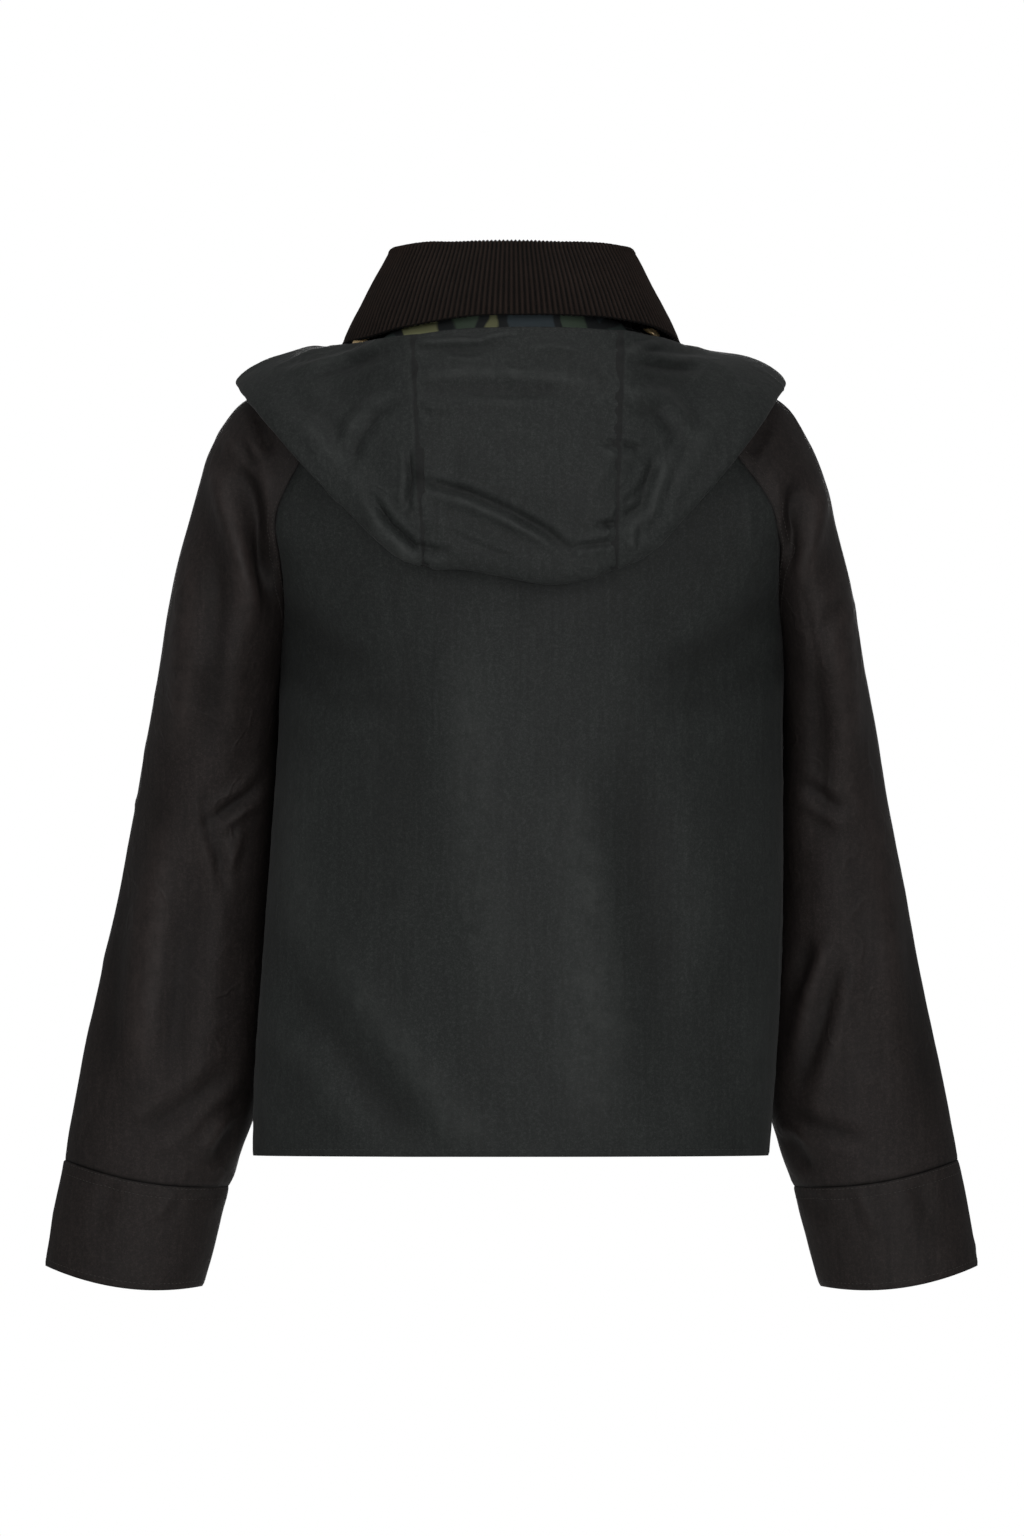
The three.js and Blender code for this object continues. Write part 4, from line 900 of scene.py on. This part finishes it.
def leaf_print():
    material, tree, surface = new_surface("printed_cotton")
    place = add_node(tree, "ShaderNodeTexCoord").outputs["Object"]
    sway = add_node(tree, "ShaderNodeTexNoise", Scale=22.0, Detail=2.0)
    tree.links.new(place, sway.inputs["Vector"])
    bent = add_node(tree, "ShaderNodeVectorMath", operation="MULTIPLY_ADD")
    bent.inputs[1].default_value = (0.03, 0.03, 0.03)
    tree.links.new(sway.outputs["Color"], bent.inputs[0])
    tree.links.new(place, bent.inputs[2])
    lean = add_node(tree, "ShaderNodeMapping")
    lean.inputs["Rotation"].default_value = (0, 0.35, 0)
    lean.inputs["Scale"].default_value = (1, 0.6, 0.35)
    lean.inputs["Location"].default_value = (0.013, 0, 0)
    tree.links.new(bent.outputs["Vector"], lean.inputs["Vector"])
    patch = add_node(tree, "ShaderNodeTexVoronoi", Scale=26.0)
    edge = add_node(tree, "ShaderNodeTexVoronoi", Scale=26.0, feature="DISTANCE_TO_EDGE")
    for texture in (patch, edge):
        tree.links.new(lean.outputs["Vector"], texture.inputs["Vector"])
    split = add_node(tree, "ShaderNodeSeparateColor")
    tree.links.new(patch.outputs["Color"], split.inputs["Color"])
    inks = add_node(tree, "ShaderNodeValToRGB")
    inks.color_ramp.interpolation = "CONSTANT"
    palette = [(0.0, (0.17, 0.175, 0.085)), (0.2, (0.034, 0.049, 0.058)),
               (0.45, (0.023, 0.034, 0.031)), (0.64, (0.018, 0.013, 0.010)),
               (0.74, (0.050, 0.075, 0.050)), (0.93, (0.36, 0.14, 0.02))]
    while len(inks.color_ramp.elements) < len(palette):
        inks.color_ramp.elements.new(0.5)
    for stop, (at, ink) in zip(inks.color_ramp.elements, palette):
        stop.position = at
        stop.color = (*ink, 1)
    tree.links.new(split.outputs["Red"], inks.inputs["Fac"])
    vein = ramp(tree, edge.outputs["Distance"], 0.05, 0.08, 1.0, 0.0)
    shade = mixed(tree, "MIX", vein, inks.outputs["Color"], (0.006, 0.008, 0.009, 1))
    weave = noise_at(tree, place, 900.0, 2.0)
    bump = add_node(tree, "ShaderNodeBump", Strength=0.3, Distance=0.2 * MM)
    tree.links.new(weave, bump.inputs["Height"])
    tree.links.new(shade, surface.inputs["Base Color"])
    tree.links.new(bump.outputs["Normal"], surface.inputs["Normal"])
    surface.inputs["Roughness"].default_value = 0.75
    return material


LINING_LIFT = 1.2
lining, points, _, edge = start_cloth("hood_lining", 1.6)
rise = soft_cloth(points, edge, seed=17, broad=0.5, stretch=(1, 1, 1))
raise_cloth(lining, rise, edge, 0.0, LINING_LIFT * MM)
finish_cloth(lining, leaf_print(), "hood_lining", 1.2 * MM)

# Collar: corduroy on a short stand, folded over at the top and falling to a wide edge. The
# wales run up the stand, over the fold and down the fall.
COLLAR_SECTIONS = [
    # angle from the middle of the back, fold radius and height, edge radius, its height left
    # and right, neck radius and height
    (0, 73, 64.5, 97, 11.5, 11.5, 72, 12),
    (22, 74, 64, 99, 9.6, 11.3, 74.1, 10.3),
    (45, 78, 63.6, 104, 3.4, 9, 80.6, 4),
    (68, 85.5, 61.6, 113, -4.5, 2.6, 87, -9.6),
    (90, 89, 58.5, 121, -9, -8, 88, -21.2),
    (118, 87.5, 41, 131, -25, -25, 85, -24.5),
    (145, 81, 6, 132, -66, -66, 77.5, -42.9),
    (166, 78, -30, 131, -98, -98, 74.2, -50.5),
]
COLLAR_END = 166
COLLAR_ROLL = 4.2
COLLAR_CLOTH = 2.2
NECK_MIDDLE_Y = -4
WALES = 138
WALE_STEPS = 6
WALE_RISE = 0.6
COLLAR_ROWS = 36
EDGE_SEAM = 4.6


def smooth_read(columns, at):
    """Reads columns of a table at a place, with smooth slopes between its rows."""
    table = np.array(columns, float)
    keys = table[:, 0]
    slopes = np.gradient(table, keys, axis=0)
    slopes[0] = 0
    row = int(np.clip(np.searchsorted(keys, at) - 1, 0, len(keys) - 2))
    span = keys[row + 1] - keys[row]
    t = (at - keys[row]) / span
    return (table[row] * (1 + 2 * t) * (1 - t) ** 2 + table[row + 1] * t * t * (3 - 2 * t)
            + slopes[row] * span * t * (1 - t) ** 2
            - slopes[row + 1] * span * t * t * (1 - t))


def collar_profile(angle):
    """The section of the collar's face, from the foot of the stand to the edge of the fall."""
    section = smooth_read(COLLAR_SECTIONS, abs(angle))
    _, top_r, top_z, edge_r, left_z, right_z, neck_r, neck_z = section
    blend = soft_step(np.array((angle + 12) / 24))
    edge_z = right_z + (left_z - right_z) * float(blend)
    roll = COLLAR_ROLL
    foot = np.array([neck_r - 2.0, neck_z + 1.2])
    stand = np.array([top_r - 2 * roll, top_z - roll])
    fall = np.array([edge_r, edge_z]) - np.array([top_r, top_z - roll])
    fall_out = np.array([-fall[1], fall[0]]) / np.linalg.norm(fall)
    points = [foot + (stand - foot) * t for t in np.linspace(0, 1, 9)[:-1]]
    for turn in np.linspace(0, math.pi, 9)[:-1]:
        out, up = roll * math.cos(turn), roll * math.sin(turn)
        points.append(np.array([top_r - roll - out, top_z - roll + up]))
    start = np.array([top_r, top_z - roll])
    for t in np.linspace(0, 1, 20):
        points.append(start + fall * t + fall_out * 0.9 * math.sin(math.pi * t))
    return np.array(points)


bpy.ops.mesh.primitive_grid_add(x_subdivisions=WALES * WALE_STEPS, y_subdivisions=COLLAR_ROWS - 1,
                                size=2)
collar = bpy.context.object
collar.name = "collar_cloth"
grid = points_of(collar)
columns = np.round((grid[:, 0] + 1) / 2 * WALES * WALE_STEPS).astype(int)
rows = np.round((grid[:, 1] + 1) / 2 * (COLLAR_ROWS - 1)).astype(int)
sections, section_ribs = [], []
for k in range(WALES * WALE_STEPS + 1):
    angle = COLLAR_END * (1 - 2 * k / (WALES * WALE_STEPS))
    flat_points = collar_profile(angle)
    runs = np.linalg.norm(np.diff(flat_points, axis=0), axis=1)
    along = np.concatenate([[0], np.cumsum(runs)])
    to_edge = along[-1] - along
    slope = np.gradient(flat_points, axis=0)
    out = np.stack([-slope[:, 1], slope[:, 0]], axis=1)
    out /= np.linalg.norm(out, axis=1)[:, None]
    wale = math.cos(2 * math.pi * k / WALE_STEPS)
    fuzz = np.array([noise.noise(Vector((k // WALE_STEPS * 3.7, run / 5.5, 0))) for run in along])
    raised = WALE_RISE * (wale * (1 + 0.3 * fuzz))
    raised = raised - 0.7 * np.exp(-((to_edge - EDGE_SEAM) / 0.8) ** 2)
    wave = np.array([noise.noise(Vector((angle / 22, run / 26, 5))) for run in along])
    raised += wave * 0.9 * np.clip((along - 30) / 20, 0, 1)
    if out[-1, 0] < 0:
        out = -out
    bent = flat_points + out * raised[:, None]
    turn = math.radians(angle)
    across, ahead = bent[:, 0] * math.sin(turn), bent[:, 0] * math.cos(turn)
    sections.append(np.stack([across, NECK_MIDDLE_Y + ahead, bent[:, 1]], axis=1) * MM)
    section_ribs.append(wale * (1 + 0.5 * fuzz))
shaped = np.array([sections[k][row] for k, row in zip(columns, rows)])
ribs = np.array([section_ribs[k][row] for k, row in zip(columns, rows)])
collar.data.vertices.foreach_set("co", shaped.ravel())
collar.data.update()
# The wales' profile, from which the corduroy paints shade into its grooves.
ridge_tone_and_shade = collar.data.attributes.new("ridge_tone_and_shade", "FLOAT", "POINT")
ridge_tone_and_shade.data.foreach_set("value", ribs)
middle = collar.data.polygons[(COLLAR_ROWS - 4) * WALES * WALE_STEPS + WALES * WALE_STEPS // 2]
if middle.normal.y < 0:
    select_only(collar)
    bpy.ops.object.mode_set(mode="EDIT")
    bpy.ops.mesh.select_all(action="SELECT")
    bpy.ops.mesh.flip_normals()
    bpy.ops.object.mode_set(mode="OBJECT")


def corduroy_material():
    """Dark brown corduroy: lighter brushed wales between grooves made near black by painted shade.
    """
    material, tree, surface = new_surface("corduroy")
    place = add_node(tree, "ShaderNodeTexCoord").outputs["Object"]
    ridge_tone_and_shade = add_node(tree, "ShaderNodeAttribute", attribute_name="ridge_tone_and_shade").outputs["Fac"]
    pile = noise_at(tree, place, 1300.0, 3.0, 0.7)
    patch = noise_at(tree, place, 45.0, 4.0)
    # Painted shade: the grooves between the wales go near black, while the wales keep their lighter
    # brushed brown.
    shade = mixed(tree, "MIX", ramp(tree, ridge_tone_and_shade, -0.7, 1.0), (0.0004, 0.0003, 0.0002, 1),
                  (0.021, 0.0136, 0.0106, 1))
    shade = mixed(tree, "MIX", calc(tree, "MULTIPLY", ramp(tree, pile, 0.45, 0.75), 0.55), shade,
                  (0.026, 0.017, 0.0135, 1))
    shade = mixed(tree, "MULTIPLY", ramp(tree, patch, 0.35, 0.65, 0.0, 0.55), shade,
                  (0.55, 0.53, 0.52, 1))
    bump = add_node(tree, "ShaderNodeBump", Strength=0.6, Distance=0.4 * MM)
    tree.links.new(pile, bump.inputs["Height"])
    tree.links.new(shade, surface.inputs["Base Color"])
    tree.links.new(bump.outputs["Normal"], surface.inputs["Normal"])
    surface.inputs["Roughness"].default_value = 0.92
    surface.inputs["Sheen Weight"].default_value = 0.03
    surface.inputs["Specular IOR Level"].default_value = 0.12
    return material


finish_cloth(collar, corduroy_material(), "collar", COLLAR_CLOTH * MM)

# Studs: domed brass caps with a rolled rim, one under each end of the collar for the hood and
# five down the front. Each sits where its solid is and faces the way its solid faces.


def brass_material():
    material, tree, surface = new_surface("brass")
    place = add_node(tree, "ShaderNodeTexCoord").outputs["Object"]
    tarnish = noise_at(tree, place, 260.0, 5.0, 0.65)
    shade = mixed(tree, "MIX", ramp(tree, tarnish, 0.4, 0.7), (0.95, 0.72, 0.40, 1),
                  (0.70, 0.47, 0.21, 1))
    tree.links.new(shade, surface.inputs["Base Color"])
    tree.links.new(ramp(tree, tarnish, 0.35, 0.7, 0.24, 0.42), surface.inputs["Roughness"])
    surface.inputs["Metallic"].default_value = 0.55
    return material


brass = brass_material()
STUD_PROFILE = [(0, 1.0), (0.35, 0.96), (0.62, 0.82), (0.78, 0.62), (0.84, 0.44), (0.88, 0.5),
                (0.95, 0.5), (1.0, 0.36), (1.0, 0.14), (0.94, 0.0), (0, 0.0)]
STUD_SIDES = 32
HOOD_DOME = 2.0  # the hood's studs are this much higher than their solids
stud_names = ["hood_stud_left", "hood_stud_right"] + [f"front_stud_{k}" for k in range(1, 6)]
for stud_name in stud_names:
    corners = np.array([vertex.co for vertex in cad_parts[stud_name].data.vertices])
    middle = (corners.min(axis=0) + corners.max(axis=0)) / 2
    _, _, axes = np.linalg.svd(corners - corners.mean(axis=0), full_matrices=False)
    axis = Vector(axes[2])
    outward = Vector((middle[0], middle[1], 0))
    if axis.dot(outward) < 0:
        axis = -axis
    reach = (corners - middle) @ np.array(axis)
    radius = np.linalg.norm((corners - middle) - np.outer(reach, np.array(axis)), axis=1).max()
    height = reach.max() - reach.min()
    if stud_name.startswith("hood"):
        height *= HOOD_DOME
    base = Vector(middle) + axis * float(reach.min())
    turn = axis.to_track_quat("Z", "Y").to_matrix()
    cap = bmesh.new()
    ring_before = None
    for share, lift in STUD_PROFILE:
        angles = np.linspace(0, 2 * math.pi, STUD_SIDES, endpoint=False) if share else [0]
        out = radius * share
        ring = [cap.verts.new(base + turn @ Vector((out * math.cos(a), out * math.sin(a),
                                                    lift * height))) for a in angles]
        if ring_before:
            for k in range(STUD_SIDES):
                quad = [circle[at % len(circle)] for circle, at in (
                    (ring_before, k), (ring_before, k + 1), (ring, k + 1), (ring, k))]
                cap.faces.new(list(dict.fromkeys(quad)))
        ring_before = ring
    bmesh.ops.recalc_face_normals(cap, faces=cap.faces)
    mesh = bpy.data.meshes.new(stud_name + "_cap")
    cap.to_mesh(mesh)
    cap.free()
    stud = bpy.data.objects.new(stud_name + "_cap", mesh)
    bpy.context.collection.objects.link(stud)
    rounded(stud, 1)
    bpy.ops.object.shade_smooth_by_angle(angle=math.radians(50))
    mesh.materials.append(brass)
    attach(stud, "root")
    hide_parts(stud_name)
